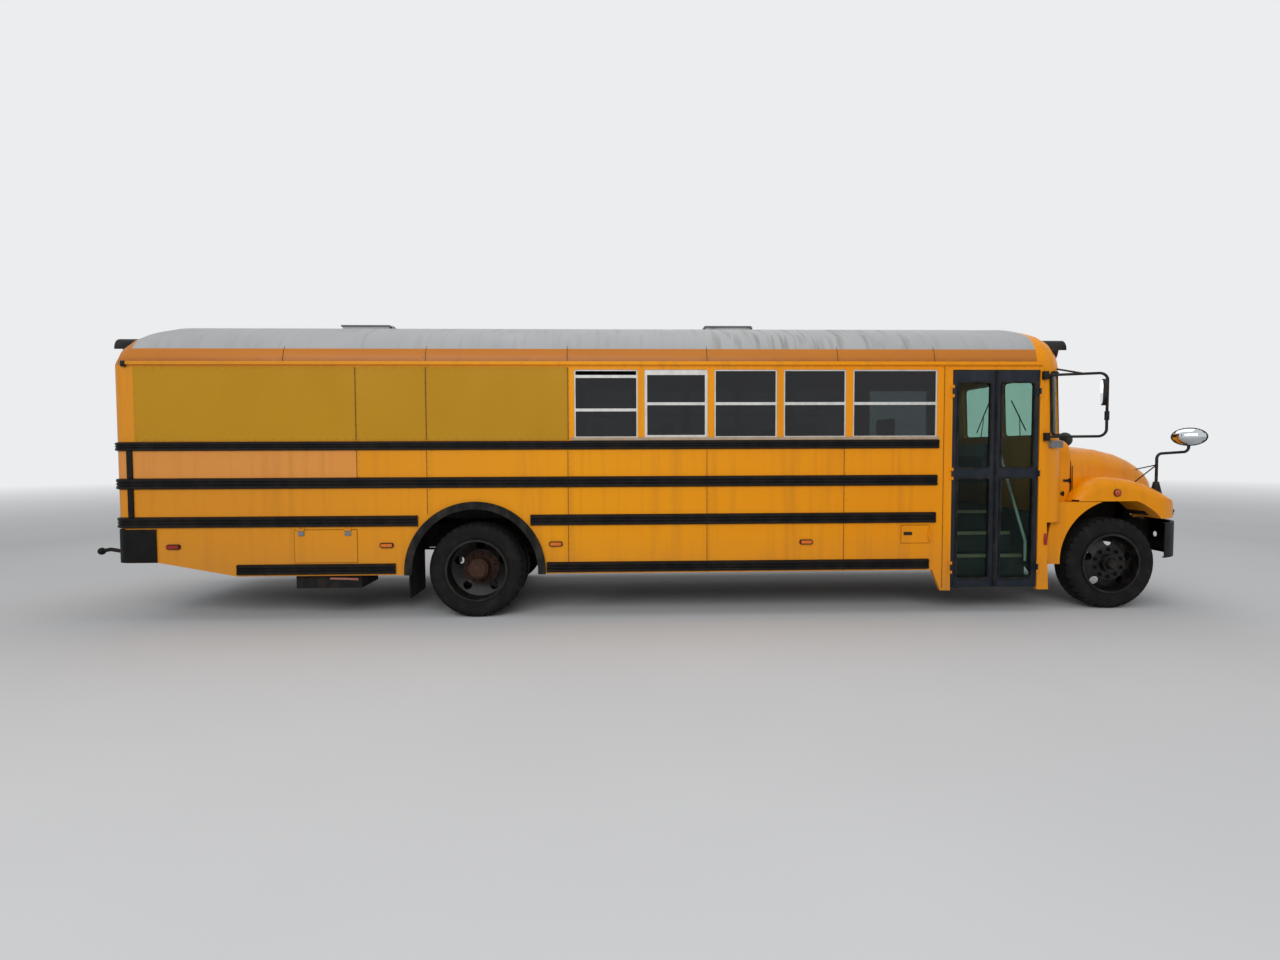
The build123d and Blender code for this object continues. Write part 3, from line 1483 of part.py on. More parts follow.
wheel_centre = Vector(5330, driver_y, 1640)
column_tilt = 35.0
wheel_plane = Plane(origin=wheel_centre, x_dir=(0, 1, 0),
                    z_dir=(-math.sin(math.radians(column_tilt)), 0, math.cos(math.radians(column_tilt))))
ring_radius = 225.0
steering_wheel = wheel_plane * Torus(ring_radius, 14)
for number in range(3):
    spoke = Rot(0, 0, 120 * number + 90) * Pos(ring_radius / 2, 0, 0) * Box(ring_radius, 26, 14)
    steering_wheel = steering_wheel + wheel_plane * spoke
steering_wheel = steering_wheel + wheel_plane * Cylinder(45, 40)
nodes["steering_wheel"] = steering_wheel
column_foot = wheel_plane.origin - wheel_plane.z_dir * 330
column = rod(tuple(wheel_plane.origin - wheel_plane.z_dir * 20.3), tuple(column_foot), 30)
nodes["dashboard"] = dash_form + column

# Below the floor: tank, exhaust, luggage box and mud flaps
rail_side = rail_y + rail_width / 2 + seat_gap
nodes["fuel_tank"] = block(1900, 3100, -1120, -rail_side, 470, 860)
exhaust_pipe = tube(
    [
        (2250, 640, 660),
        (5450, 640, 660),
        (5650, 560, 545),
        (5800, 250, 545),
        (5900, 250, 690),
        (engine_x[0] - seat_gap, 250, 690),
    ],
    42, 60,
)
muffler = Pos(3750, 640, 660) * Rot(0, 90, 0) * Cylinder(120, 1100)
exhaust_parts = [exhaust_pipe, muffler]
for station in (3200.0, 4000.0):
    exhaust_parts.append(rod((station + 20, 640, 700), (station + 20, 640, rail_top), 10))
nodes["exhaust"] = joined(exhaust_parts)
box_x = (hatch_x[0] - 8, hatch_x[1] + 15)
box_y = (-half_width + wall + seat_gap, -700.0)
box_z = (305.0, floor_top - floor_thick - seat_gap)
box_wall = 14.0
luggage_box = block(*box_x, *box_y, *box_z)
luggage_box = luggage_box - block(box_x[0] + box_wall, box_x[1] - box_wall, box_y[0] + box_wall,
                                  box_y[1] - box_wall, box_z[0] + box_wall, hatch_z[1])
luggage_box = luggage_box - block(box_x[0] + box_wall, hatch_x[1], box_y[0] - 1, box_y[0] + box_wall + 1, *hatch_z)
luggage_box = luggage_box - block(-1560, -1440, box_y[0] - 1, box_y[1] + 1, rail_top, crown)
nodes["luggage_box"] = luggage_box
flap = block(-660, -650, -half_width + wall + 4, -620, 190, floor_top - floor_thick - seat_gap)
nodes["mud_flaps"] = both(flap)

# Stop arm folded against the driver's side
sign_x = 5190.0
sign_y = half_width + 40
sign_z = 1495.0
stop_sign = extrude(Rot(0, 0, 22.5) * RegularPolygon(228, 8, major_radius=False), amount=5, both=True)
stop_sign = Pos(sign_x, sign_y, sign_z) * Rot(90, 0, 0) * stop_sign
nodes["stop_arm"] = joined(
    [
        stop_sign,
        block(stop_axis_x, sign_x, sign_y - 12, sign_y - 4, sign_z + 60, sign_z + 90),
        block(stop_axis_x, sign_x, sign_y - 12, sign_y - 4, sign_z - 90, sign_z - 60),
        Pos(stop_axis_x, sign_y - 8, sign_z) * Cylinder(9, 190),
    ]
)

pods = [lamp_pod(front_plane - 20, y, 1) for y in lamp_places]
pods += [lamp_pod(rear_end + 20, y, -1) for y in lamp_places]
marker_out = -half_width - seat_gap
markers = []
for station in marker_stations:
    face = window(station - marker_size[0] / 2, station + marker_size[0] / 2,
                  marker_z - marker_size[1] / 2, marker_z + marker_size[1] / 2, 20)
    markers.append(plate_y(face, marker_out - marker_size[2], marker_out))
for across, height, radius in rear_lamps:
    foot = (rear_end - seat_gap, -across, height)
    markers.append(rod(foot, (rear_end - rear_lamp_base, -across, height), radius)
                   + rod(foot, (rear_end - rear_lamp_lens, -across, height), radius - 12))
nodes["warning_lamps"] = group(pods + markers + [mirrored(marker) for marker in markers])

os.makedirs("parts", exist_ok=True)
for name, shape in nodes.items():
    export_step(Pos(-middle, 0, 0) * shape, f"parts/{name}.step")
print(len(nodes), "nodes, origin at station", round(middle, 1))
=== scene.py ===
# %% [markdown]
# A school bus with a long nose: the looks
#
# The frame holds every rigid piece at its real size. This file gives each of them its finish and
# adds what is too small or too soft for the frame: nuts, rivets, seals, cushions, lamps and glass.
# All lengths are in metres, X points forward, Y to the driver's side, and Z up from the ground.

# %% Load the frame
import json
import math

import bmesh
import bpy
from mathutils import Matrix, Vector


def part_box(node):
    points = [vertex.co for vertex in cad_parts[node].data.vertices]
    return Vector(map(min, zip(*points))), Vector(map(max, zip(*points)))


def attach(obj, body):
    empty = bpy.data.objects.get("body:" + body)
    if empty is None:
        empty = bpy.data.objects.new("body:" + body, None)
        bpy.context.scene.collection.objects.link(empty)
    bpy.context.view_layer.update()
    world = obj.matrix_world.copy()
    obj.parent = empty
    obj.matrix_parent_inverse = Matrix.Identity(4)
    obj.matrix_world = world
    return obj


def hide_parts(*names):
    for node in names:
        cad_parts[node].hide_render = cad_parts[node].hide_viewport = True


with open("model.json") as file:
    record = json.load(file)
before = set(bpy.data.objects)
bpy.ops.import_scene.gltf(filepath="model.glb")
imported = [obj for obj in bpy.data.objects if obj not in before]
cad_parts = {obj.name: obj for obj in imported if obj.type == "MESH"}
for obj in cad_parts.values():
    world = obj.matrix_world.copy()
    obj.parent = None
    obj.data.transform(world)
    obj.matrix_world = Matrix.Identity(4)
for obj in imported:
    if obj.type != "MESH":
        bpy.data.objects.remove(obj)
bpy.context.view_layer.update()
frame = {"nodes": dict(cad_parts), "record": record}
nodes = frame["nodes"]

# %% [markdown]
# Places along a bus are measured from its rear axle, as a body builder does. The frame's origin
# is under the middle of the whole length instead, so one function turns a station into an X.

# %% Stations along the bus
x_axis, y_axis, z_axis = Vector((1, 0, 0)), Vector((0, 1, 0)), Vector((0, 0, 1))
curb, driver = -1, 1
wall_hinges_proud = 0.019


def box_middle(name, axis):
    """The middle of a rigid piece's box along one axis."""
    low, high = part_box(name)
    return (low[axis] + high[axis]) / 2


rear_axle_x = box_middle("rear_right_tyres", 0)
half_width = -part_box("curb_side_wall")[0][1] - wall_hinges_proud


def along(station):
    """The X of a place that is measured forward from the rear axle."""
    return rear_axle_x + station


def spot(station, across, height):
    """A point by its station, its place across the bus and its height."""
    return Vector((along(station), across, height))


print("rear axle at X", round(rear_axle_x, 4), "body half width", round(half_width, 4))

# %% [markdown]
# The picture was taken from the curb side with a wide lens, a little to the rear of the middle.
# The camera repeats that view: a 36 mm sensor with a focal length of 700 pixels out of 1280,
# 8.1 m from the bus's centre line and 1.65 m above the ground, turned a few degrees.

# %% Camera


def placed(name, data):
    """A new object in the scene."""
    made = bpy.data.objects.new(name, data)
    bpy.context.collection.objects.link(made)
    return made


photo_width, focal_pixels, sensor_width = 1280, 700, 36.0
eye = spot(1.3755, -8.0872, 1.65)
yaw, pitch, roll = -0.0348, -0.0431, -0.0036

level_ahead = Vector((-math.sin(yaw), math.cos(yaw), 0))
level_right = Vector((math.cos(yaw), math.sin(yaw), 0))
ahead = level_ahead * math.cos(pitch) + z_axis * math.sin(pitch)
above = z_axis * math.cos(pitch) - level_ahead * math.sin(pitch)
right = level_right * math.cos(roll) + above * math.sin(roll)
above = above * math.cos(roll) - level_right * math.sin(roll)

camera = placed("camera", bpy.data.cameras.new("camera"))
camera.data.sensor_width = sensor_width
camera.data.lens = sensor_width * focal_pixels / photo_width
turned = Matrix((right, above, -ahead)).transposed().to_4x4()
camera.matrix_world = Matrix.Translation(eye) @ turned
bpy.context.scene.camera = camera
print("lens", round(camera.data.lens, 2), "mm")

# %% [markdown]
# A material is a small program. Writing it as arithmetic keeps it readable, so `Wire` wraps a
# socket and turns each sign into a Math node, and `Paint` holds one material and makes its nodes.

# %% Shader arithmetic
paints = {}


def colour(red, green, blue):
    """A screen colour from 0 to 255 as the shader's linear one."""
    linear = []
    for value in (red, green, blue):
        part = value / 255
        linear.append(part / 12.92 if part <= 0.04045 else ((part + 0.055) / 1.055) ** 2.4)
    return (*linear, 1.0)


class Wire:
    """A socket of a material, on which arithmetic adds Math nodes."""

    def __init__(self, paint, socket):
        self.paint = paint
        self.socket = socket

    def math(self, operation, first, second):
        return self.paint.node("ShaderNodeMath", {"operation": operation}, {0: first, 1: second})

    def __add__(self, other):
        return self.math("ADD", self, other)

    def __sub__(self, other):
        return self.math("SUBTRACT", self, other)

    def __rsub__(self, other):
        return self.math("SUBTRACT", other, self)

    def __mul__(self, other):
        return self.math("MULTIPLY", self, other)

    def __pow__(self, other):
        return self.math("POWER", self, other)

    __radd__ = __add__
    __rmul__ = __mul__


class Paint:
    """One material, kept in paints by its name, with the calls that its recipes use."""

    def __init__(self, name):
        self.material = paints[name] = bpy.data.materials.new(name)
        self.material.use_nodes = True
        self.tree = self.material.node_tree
        self.shader = self.tree.nodes["Principled BSDF"]
        self.place = self.node("ShaderNodeTexCoord", {}, {}, "Object")
        split = self.node("ShaderNodeSeparateXYZ", {}, {0: self.place})
        self.x, self.y, self.z = [Wire(self, socket) for socket in split.socket.node.outputs]

    def feed(self, socket, value):
        if isinstance(value, Wire):
            self.tree.links.new(value.socket, socket)
        else:
            socket.default_value = value

    def node(self, kind, settings, inputs, output=0):
        made = self.tree.nodes.new(kind)
        for key, value in settings.items():
            setattr(made, key, value)
        for key, value in inputs.items():
            self.feed(made.inputs[key], value)
        return Wire(self, made.outputs[output])

    def noise(self, scale, stretch=(1, 1, 1), detail=3.0, shift=0.0):
        """Cloudy noise of the piece's own place, from 0 to 1, with scale patches a metre."""
        spread = {"Vector": self.place, "Scale": stretch, "Location": (shift, shift, shift)}
        place = self.node("ShaderNodeMapping", {}, spread)
        cloud = {"Vector": place, "Scale": scale, "Detail": detail}
        return self.node("ShaderNodeTexNoise", {}, cloud)

    def span(self, wire, low, high):
        """How far a value has come from low to high, from 0 to 1."""
        ends = {"Value": wire, "From Min": low, "From Max": high}
        return self.node("ShaderNodeMapRange", {"clamp": True}, ends)

    def blend(self, amount, *pair):
        """A mix of two colours. Three numbers are a screen colour, four the shader's own."""
        first, second = [
            colour(*tone) if isinstance(tone, tuple) and len(tone) == 3 else tone for tone in pair
        ]
        inputs = {0: amount, 6: first, 7: second}
        return self.node("ShaderNodeMix", {"data_type": "RGBA"}, inputs, 2)

    def bump(self, height, strength, distance):
        """A normal that follows a height."""
        inputs = {"Height": height, "Strength": strength, "Distance": distance}
        return self.node("ShaderNodeBump", {}, inputs)

    def coat(self, **values):
        """Sets the shader's sockets, with an underscore for each blank in a socket's name."""
        for name, value in values.items():
            self.feed(self.shader.inputs[name.replace("_", " ")], value)
        return self.material


print("shader arithmetic ready")

# %% [markdown]
# The small pieces are modelled with a few helpers over bmesh operators. Each one adds a shape to
# an open bmesh, and `piece` turns the finished bmesh into an object that rides on a body, with its
# paint.

# %% Modelling helpers


def mesh_of(name, shape):
    """A mesh with a bmesh's faces, after which the bmesh is freed."""
    mesh = bpy.data.meshes.new(name)
    shape.to_mesh(mesh)
    shape.free()
    return mesh


def piece(name, shape, paint, body="root", crease=35.0):
    """An object made of a bmesh, smooth but for edges sharper than the crease angle."""
    bmesh.ops.recalc_face_normals(shape, faces=shape.faces)
    made = placed(name, mesh_of(name, shape))
    made.data.shade_smooth()
    made.data.set_sharp_from_angle(angle=math.radians(crease))
    made.data.materials.append(paints[paint])
    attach(made, body)
    return made


def merge_into(shape, other):
    """Adds one bmesh's faces to another."""
    bmesh.ops.recalc_face_normals(other, faces=other.faces)
    spare = mesh_of("spare", other)
    shape.from_mesh(spare)
    bpy.data.meshes.remove(spare)


def aimed(place, way, axis="Z"):
    """A frame at a place, with one axis along a direction, as a matrix."""
    return Matrix.Translation(place) @ way.to_track_quat(axis, "Y").to_matrix().to_4x4()


def facing(place, across, upward=z_axis):
    """A frame whose x and y lie along two directions, at a place, as a matrix."""
    out = across.cross(upward)
    return Matrix.Translation(place) @ Matrix((across, upward, out)).transposed().to_4x4()


def add_box(shape, low, high, bevel=0.0, segments=2):
    """A box between two corners, with rounded edges if it has a bevel."""
    low, high = Vector(low), Vector(high)
    verts = bmesh.ops.create_cube(shape, size=1)["verts"]
    bmesh.ops.scale(shape, vec=high - low, verts=verts)
    bmesh.ops.translate(shape, vec=(low + high) / 2, verts=verts)
    if bevel:
        edges = list({edge for vert in verts for edge in vert.link_edges})
        bmesh.ops.bevel(
            shape, geom=edges, offset=bevel, segments=segments, profile=0.5, affect="EDGES",
            material=-1
        )


def side_box(shape, side, face, proud, stations, heights, bevel=0.0, segments=2):
    """A box that stands proud of a face at one side of the bus."""
    (rear, front), (foot, head) = stations, heights
    near, far = sorted((side * face, side * face + side * proud))
    add_box(shape, spot(rear, near, foot), spot(front, far, head), bevel, segments)


def add_rod(shape, start, end, radius, sides=20, end_radius=None):
    """A round bar, or a cone, between two points."""
    start, end = Vector(start), Vector(end)
    bmesh.ops.create_cone(
        shape, cap_ends=True, segments=sides, radius1=radius,
        radius2=radius if end_radius is None else end_radius,
        depth=(end - start).length, matrix=aimed((start + end) / 2, end - start)
    )


def add_dome(shape, place, way, radius, height, sides=20, rings=8):
    """A cushion-shaped lens or button that bulges along a direction."""
    squash = Matrix.Diagonal((1, 1, height / radius, 1))
    matrix = aimed(place, Vector(way).normalized()) @ squash
    bmesh.ops.create_uvsphere(
        shape, u_segments=sides, v_segments=rings, radius=radius, matrix=matrix
    )


def raise_up(shape, push):
    """Gives all faces of a bmesh a thickness along a vector."""
    made = bmesh.ops.extrude_face_region(shape, geom=shape.faces[:], use_keep_orig=True)
    moved = [item for item in made["geom"] if isinstance(item, bmesh.types.BMVert)]
    bmesh.ops.translate(shape, vec=push, verts=moved)


def add_plate(shape, matrix, width, height, corner, depth, band=None):
    """A rounded plate as deep as depth along the matrix's z, or its edge alone, as wide as band."""
    start = bmesh.new()
    verts = bmesh.ops.create_grid(start, x_segments=1, y_segments=1, size=0.5)["verts"]
    bmesh.ops.scale(start, vec=(width, height, 1), verts=verts)
    bmesh.ops.transform(start, matrix=matrix, verts=verts)
    bmesh.ops.bevel(
        start, geom=verts, offset=corner, segments=4, profile=0.5, affect="VERTICES", material=-1
    )
    if band:
        hollow_out(start, start.faces[:], band)
    raise_up(start, matrix.to_3x3() @ z_axis * depth)
    merge_into(shape, start)


def hollow_out(shape, faces, band):
    """Insets faces, even those with no neighbour, and leaves only the band around them."""
    bmesh.ops.inset_region(
        shape, faces=faces, thickness=band, use_boundary=True, use_even_offset=True
    )
    bmesh.ops.delete(shape, geom=faces, context="FACES")


def rivet_row(shape, start, end, pitch, out, radius=0.0065):
    """Flat round heads from one place to another, each place by its station, across and height."""
    start, end = spot(*start), spot(*end)
    count = max(2, int((end - start).length / pitch))
    for number in range(count + 1):
        add_rivet(shape, start.lerp(end, number / count), out, radius)


def add_rivet(shape, place, out, radius):
    """A flat round head on a surface."""
    add_rod(shape, place - out * 0.001, place + out * 0.0028, radius, 8, radius * 0.6)


print("modelling helpers ready")

# %% [markdown]
# The floor and the light belong to the studio, not to the bus. A big pale floor takes the shadow,
# and the world is a soft white that the camera, the paint's gloss and the glass all see. Two wide
# lamps stand where the brighter part of the sky was, one over the camera's shoulder and one
# overhead, and a weaker one lights the driver's side.

# %% Studio
floor_shape = bmesh.new()
bmesh.ops.create_grid(floor_shape, x_segments=1, y_segments=1, size=120.0)
studio_floor = placed("studio_floor", mesh_of("studio_floor", floor_shape))

world_light, world_seen = 0.50, 0.86
world_tint = (0.97, 0.985, 1.0)
seen_colour = tuple(part * world_seen for part in world_tint) + (1.0,)
dark = (0.0, 0.0, 0.0, 1.0)
paint = Paint("studio_floor")
floor_tone = paint.blend(paint.noise(0.35), (196, 197, 199), (206, 207, 208))
far_away = paint.span((paint.x**2.0 + paint.y**2.0) ** 0.5, 12.0, 40.0)
studio_floor.data.materials.append(
    paint.coat(
        Base_Color=paint.blend(far_away, floor_tone, dark),
        Roughness=0.9,
        Emission_Color=paint.blend(far_away, dark, seen_colour),
        Emission_Strength=1.0,
        Specular_IOR_Level=0.0,
    )
)

world = bpy.data.worlds.new("studio")
world.use_nodes = True
bpy.context.scene.world = world
sky = world.node_tree
background = sky.nodes["Background"]
rays = sky.nodes.new("ShaderNodeLightPath")
seen = rays.outputs["Is Camera Ray"]
for kind in ("Is Transmission Ray", "Is Glossy Ray"):
    either = sky.nodes.new("ShaderNodeMath")
    either.operation = "MAXIMUM"
    sky.links.new(seen, either.inputs[0])
    sky.links.new(rays.outputs[kind], either.inputs[1])
    seen = either.outputs[0]
level = sky.nodes.new("ShaderNodeMapRange")
level.inputs["To Min"].default_value = world_light
level.inputs["To Max"].default_value = world_seen
sky.links.new(seen, level.inputs["Value"])
sky.links.new(level.outputs[0], background.inputs["Strength"])
background.inputs["Color"].default_value = (*world_tint, 1.0)

bpy.context.scene.view_settings.view_transform = "Standard"

for name, place, aim, width, height, power in (
    ("front_softbox", (-3.0, -13.0, 8.0), (0.0, 0.0, 1.2), 14.0, 6.0, 920.0),
    ("top_softbox", (1.0, 1.0, 12.0), (0.0, 0.0, 1.5), 14.0, 8.0, 420.0),
    ("far_softbox", (4.0, 13.0, 6.0), (0.0, 0.0, 1.5), 12.0, 6.0, 300.0),
):
    lamp = bpy.data.lights.new(name, "AREA")
    lamp.shape = "RECTANGLE"
    lamp.size, lamp.size_y, lamp.energy = width, height, power
    placed(name, lamp).matrix_world = aimed(place, Vector(aim) - Vector(place), "-Z")
print("studio with three softboxes")

# %% [markdown]
# The body is steel with an orange-yellow gloss enamel. It has faded towards the rear, rain has
# drawn dirt down from the rails, and the flat panels wave a little, which shows in the gloss. The
# fade follows X, the streaks are noise stretched upright, and the waves go into a bump. One panel
# at the rear, between the upper rails, is paler than the rest.

# %% Body paint


def enamel():
    """Orange-yellow enamel that fades towards the rear and is streaked by rain."""
    paint = Paint("bus_yellow")
    to_middle = paint.span(paint.x, along(-2.4), along(1.0))
    to_front = paint.span(paint.x, along(1.0), along(4.0))
    tone = paint.blend(to_middle, (208, 134, 34), (232, 150, 0))
    tone = paint.blend(to_front, tone, (234, 144, 0))
    tone = paint.blend(paint.noise(0.9) * 0.22, tone, (238, 158, 16))
    panel = 1.0 - paint.span(paint.x, along(-1.128), along(-1.126))
    panel = panel * paint.span(paint.z, 1.360, 1.364) * (1.0 - paint.span(paint.z, 1.680, 1.684))
    tone = paint.blend(panel * 0.55, tone, (214, 144, 84))
    streaks = paint.span(paint.noise(7.0, (1.6, 1.6, 0.09), 5.0), 0.50, 0.78) * 0.30
    tone = paint.blend(streaks, tone, (160, 100, 34))
    road_dirt = (1.0 - paint.span(paint.z, 0.30, 0.85)) * paint.noise(5.0, (1, 1, 0.6)) * 0.55
    tone = paint.blend(road_dirt, tone, (150, 112, 70))
    specks = paint.span(paint.noise(46.0, detail=2.0), 0.70, 0.78) * 0.35
    waves = paint.noise(1.6, detail=1.0) + paint.noise(260.0, detail=1.0) * 0.02
    paint.coat(
        Base_Color=paint.blend(specks, tone, (120, 78, 38)),
        Roughness=0.30 + paint.noise(3.0) * 0.12 + streaks * 0.3 + road_dirt * 0.4,
        Specular_IOR_Level=0.14,
        Coat_Weight=0.12 - road_dirt * 0.1,
        Coat_Roughness=0.12,
        Normal=paint.bump(waves, 0.25, 0.02),
    )


enamel()
print("body paint")

# %% [markdown]
# The roof's crown is pale grey heat-shield paint down to a straight edge just above the gutter,
# with the faded orange below it. The grey is dull, and the rain has left brown streaks on it,
# most of all behind the front hatch.

# %% Roof paint
roof_colour_edge, crown_rear = 2.638, -3.250


def roof_finish():
    """Grey crown over an orange side, with rain streaks."""
    paint = Paint("roof_grey")
    crown_part = paint.span(paint.z, roof_colour_edge - 0.002, roof_colour_edge + 0.002)
    before_rear = paint.span(paint.x, along(crown_rear - 0.002), along(crown_rear + 0.002))
    crown_part = crown_part * before_rear
    worn = 1.0 - paint.span(paint.x, along(4.2), along(4.6))
    worn = paint.span(paint.x, along(2.2), along(2.5)) * worn
    streaks = paint.span(paint.noise(9.0, (1.7, 0.12, 0.2), 6.0), 0.5, 0.72)
    grey = paint.blend(paint.noise(2.2), (158, 160, 161), (174, 175, 176))
    grey = paint.blend(streaks * (0.16 + worn * 0.4), grey, (110, 98, 84))
    gutter_dirt = (1.0 - paint.span(paint.z, 2.50, 2.56)) * paint.noise(14.0, (1, 1, 0.3))
    side = paint.blend(paint.noise(1.2), (180, 108, 40), (194, 120, 34))
    side = paint.blend(gutter_dirt * 0.8, side, (100, 68, 40))
    paint.coat(
        Base_Color=paint.blend(crown_part, side, grey),
        Roughness=0.42 + crown_part * 0.22 + streaks * 0.1,
        Specular_IOR_Level=0.2,
        Coat_Weight=0.12 - crown_part * 0.1,
        Coat_Roughness=0.2,
        Normal=paint.bump(paint.noise(2.0, detail=2.0), 0.3, 0.02),
    )


roof_finish()
print("roof paint, grey above", roof_colour_edge)

# %% [markdown]
# The other paints: mustard sheets over the former windows, black rails and bumpers, the navy door,
# the pale frames and the small fittings. Each starts from one recipe with two tones, a dirt colour
# and a gloss, so that no surface is one flat colour.

# %% Plain paints


def finish(name, dark, pale, rough, scale, dust, coat, metal, grain):
    """Paint or moulding in two tones, with patches of dust if dust has a colour."""
    paint = Paint(name)
    tone = paint.blend(paint.noise(scale), dark, pale)
    patches = paint.span(paint.noise(scale * 2.3, (1, 1, 0.5), 5.0, 3.1), 0.42, 0.75)
    if dust:
        tone = paint.blend(patches * 0.35, tone, dust)
    if grain:
        fine = paint.noise(420.0, detail=2.0) + paint.noise(2.4) * 0.5
        paint.coat(Normal=paint.bump(fine, grain, 0.004))
    paint.coat(
        Base_Color=tone,
        Roughness=rough + patches * 0.16,
        Metallic=metal,
        Specular_IOR_Level=0.14,
        Coat_Weight=coat,
        Coat_Roughness=0.1,
    )


road_dust = (92, 84, 74)
plain_paints = (
    # name, dark tone, pale tone, roughness, scale, dust, coat, metal, grain
    ("mustard_sheet", (172, 124, 0), (186, 134, 0), 0.18, 0.7, (192, 142, 20), 0.3, 0, 0.02),
    ("rail_black", (9, 8, 9), (18, 16, 16), 0.42, 5.0, (48, 41, 35), 0.05, 0, 0.1),
    ("bumper_steel", (6, 6, 7), (11, 11, 12), 0.5, 5.0, (34, 31, 29), 0.0, 0, 0.1),
    ("door_paint", (15, 21, 31), (24, 33, 45), 0.34, 3.0, (58, 62, 66), 0.2, 0, 0.05),
    ("black_rubber", (16, 16, 17), (30, 30, 31), 0.75, 6.0, road_dust, 0, 0, 0.3),
    ("black_plastic", (18, 18, 20), (30, 30, 32), 0.5, 8.0, road_dust, 0, 0, 0.25),
    ("dash_plastic", (44, 45, 48), (58, 59, 62), 0.6, 8.0, road_dust, 0, 0, 0.3),
    ("frame_white", (198, 198, 196), (216, 216, 212), 0.35, 8.0, (150, 142, 130), 0.2, 0.2, 0.05),
    ("frame_steel", (20, 20, 21), (36, 35, 34), 0.7, 6.0, (84, 72, 58), 0, 0.1, 0.3),
    ("cast_iron", (48, 48, 50), (66, 64, 62), 0.7, 6.0, (90, 70, 50), 0, 0.3, 0.4),
    ("rusty_steel", (74, 48, 32), (112, 76, 50), 0.75, 9.0, (60, 50, 44), 0, 0.4, 0.4),
    ("floor_steel", (44, 45, 48), (60, 60, 62), 0.6, 6.0, (96, 88, 78), 0, 0, 0.3),
    ("roof_lid", (96, 97, 96), (124, 124, 122), 0.55, 5.0, (80, 70, 58), 0, 0, 0.1),
    ("stop_red", (176, 24, 20), (196, 34, 28), 0.35, 4.0, (120, 50, 40), 0.3, 0, 0.05),
    ("chrome", (196, 198, 200), (214, 216, 218), 0.08, 9.0, None, 0.3, 1.0, 0),
    # The seam colour is painted shade, a dark line that stands in for the hairline shadow at a lap
    # or joint
    ("seam_shade", (70, 52, 34), (96, 72, 46), 0.7, 20.0, (60, 52, 44), 0, 0, 0),
    ("sill_strip", (158, 138, 116), (182, 162, 136), 0.5, 9.0, (126, 104, 82), 0, 0, 0),
    ("grey_fitting", (104, 106, 108), (146, 148, 150), 0.42, 12.0, (90, 78, 64), 0.1, 0.5, 0),
    ("hose_rubber", (150, 98, 86), (178, 122, 108), 0.6, 20.0, (110, 92, 80), 0, 0, 0),
)
for row in plain_paints:
    finish(*row)
paint = Paint("mirror_face")
paint.coat(
    Base_Color=colour(206, 212, 214), Metallic=1.0, Roughness=0.02 + paint.noise(20.0) * 0.03
)
print(len(plain_paints), "plain paints")

# %% [markdown]
# Bus windows are dark tinted panes. Light goes straight through a thin pane, so a tinted
# Transparent shader carries it, and a black glossy shader lies over it. Its share grows at a slant,
# with the fifth power of Layer Weight's Facing, which both faces of a pane read alike. The windows
# around the driver are clear, so two tints are mixed by the place along the bus.

# %% Glass
driver_glass = 4.65
clear_tint = (0.74, 0.87, 0.82, 1.0)


def glass(name, tint, least, film):
    """A thin pane: a tint that light goes through, under a clean reflection over a dust film."""
    paint = Paint(name)
    paint.coat(Base_Color=film, Roughness=0.03, Coat_Weight=0.6)
    tinted = paint.node("ShaderNodeBsdfTransparent", {}, {"Color": tint})
    clear = paint.node("ShaderNodeBsdfTransparent", {}, {"Color": clear_tint})
    in_front = paint.span(paint.x, along(driver_glass - 0.01), along(driver_glass))
    slant = paint.node("ShaderNodeLayerWeight", {}, {"Blend": 0.5}, 1)
    smear = paint.noise(3.0, detail=4.0) * 0.08
    share = slant**5.0 + 0.05 + (1.0 - in_front) * least + smear
    body = paint.node("ShaderNodeMixShader", {}, {0: in_front, 1: tinted, 2: clear})
    gloss = Wire(paint, paint.shader.outputs[0])
    pane = paint.node("ShaderNodeMixShader", {}, {0: share, 1: body, 2: gloss})
    paint.feed(paint.tree.nodes["Material Output"].inputs["Surface"], pane)


glass("tinted_glass", (0.36, 0.38, 0.40, 1.0), 0.30, (0.022, 0.023, 0.027, 1.0))
glass("clear_glass", clear_tint, 0.0, (0.02, 0.03, 0.032, 1.0))
print("two kinds of glass")

# %% [markdown]
# Lamps have a ribbed plastic lens over a bright reflector. A lens is opaque enough here to be a
# strong colour with gloss, and its fine ribs are a wave bump. The headlamps' cover is pale in
# front of the nose's slope, and the lamp's dark body lies behind it.

# %% Lenses
nose_foot, nose_top = Vector((7.290, 0, 0.925)), Vector((7.130, 0, 1.112))
nose_up = (nose_top - nose_foot).normalized()
nose_out = Vector((nose_up.z, 0, -nose_up.x))


def lens(name, deep, bright, ribs):
    """Coloured lens plastic with moulded ribs."""
    paint = Paint(name)
    inputs = {"Vector": paint.place, "Scale": ribs}
    rib_wave = paint.node("ShaderNodeTexWave", {"bands_direction": "X"}, inputs)
    paint.coat(
        Base_Color=paint.blend(paint.noise(30.0), deep, bright),
        Roughness=0.14,
        Specular_IOR_Level=0.3,
        Coat_Weight=0.3,
        Normal=paint.bump(rib_wave, 0.4, 0.002),
    )


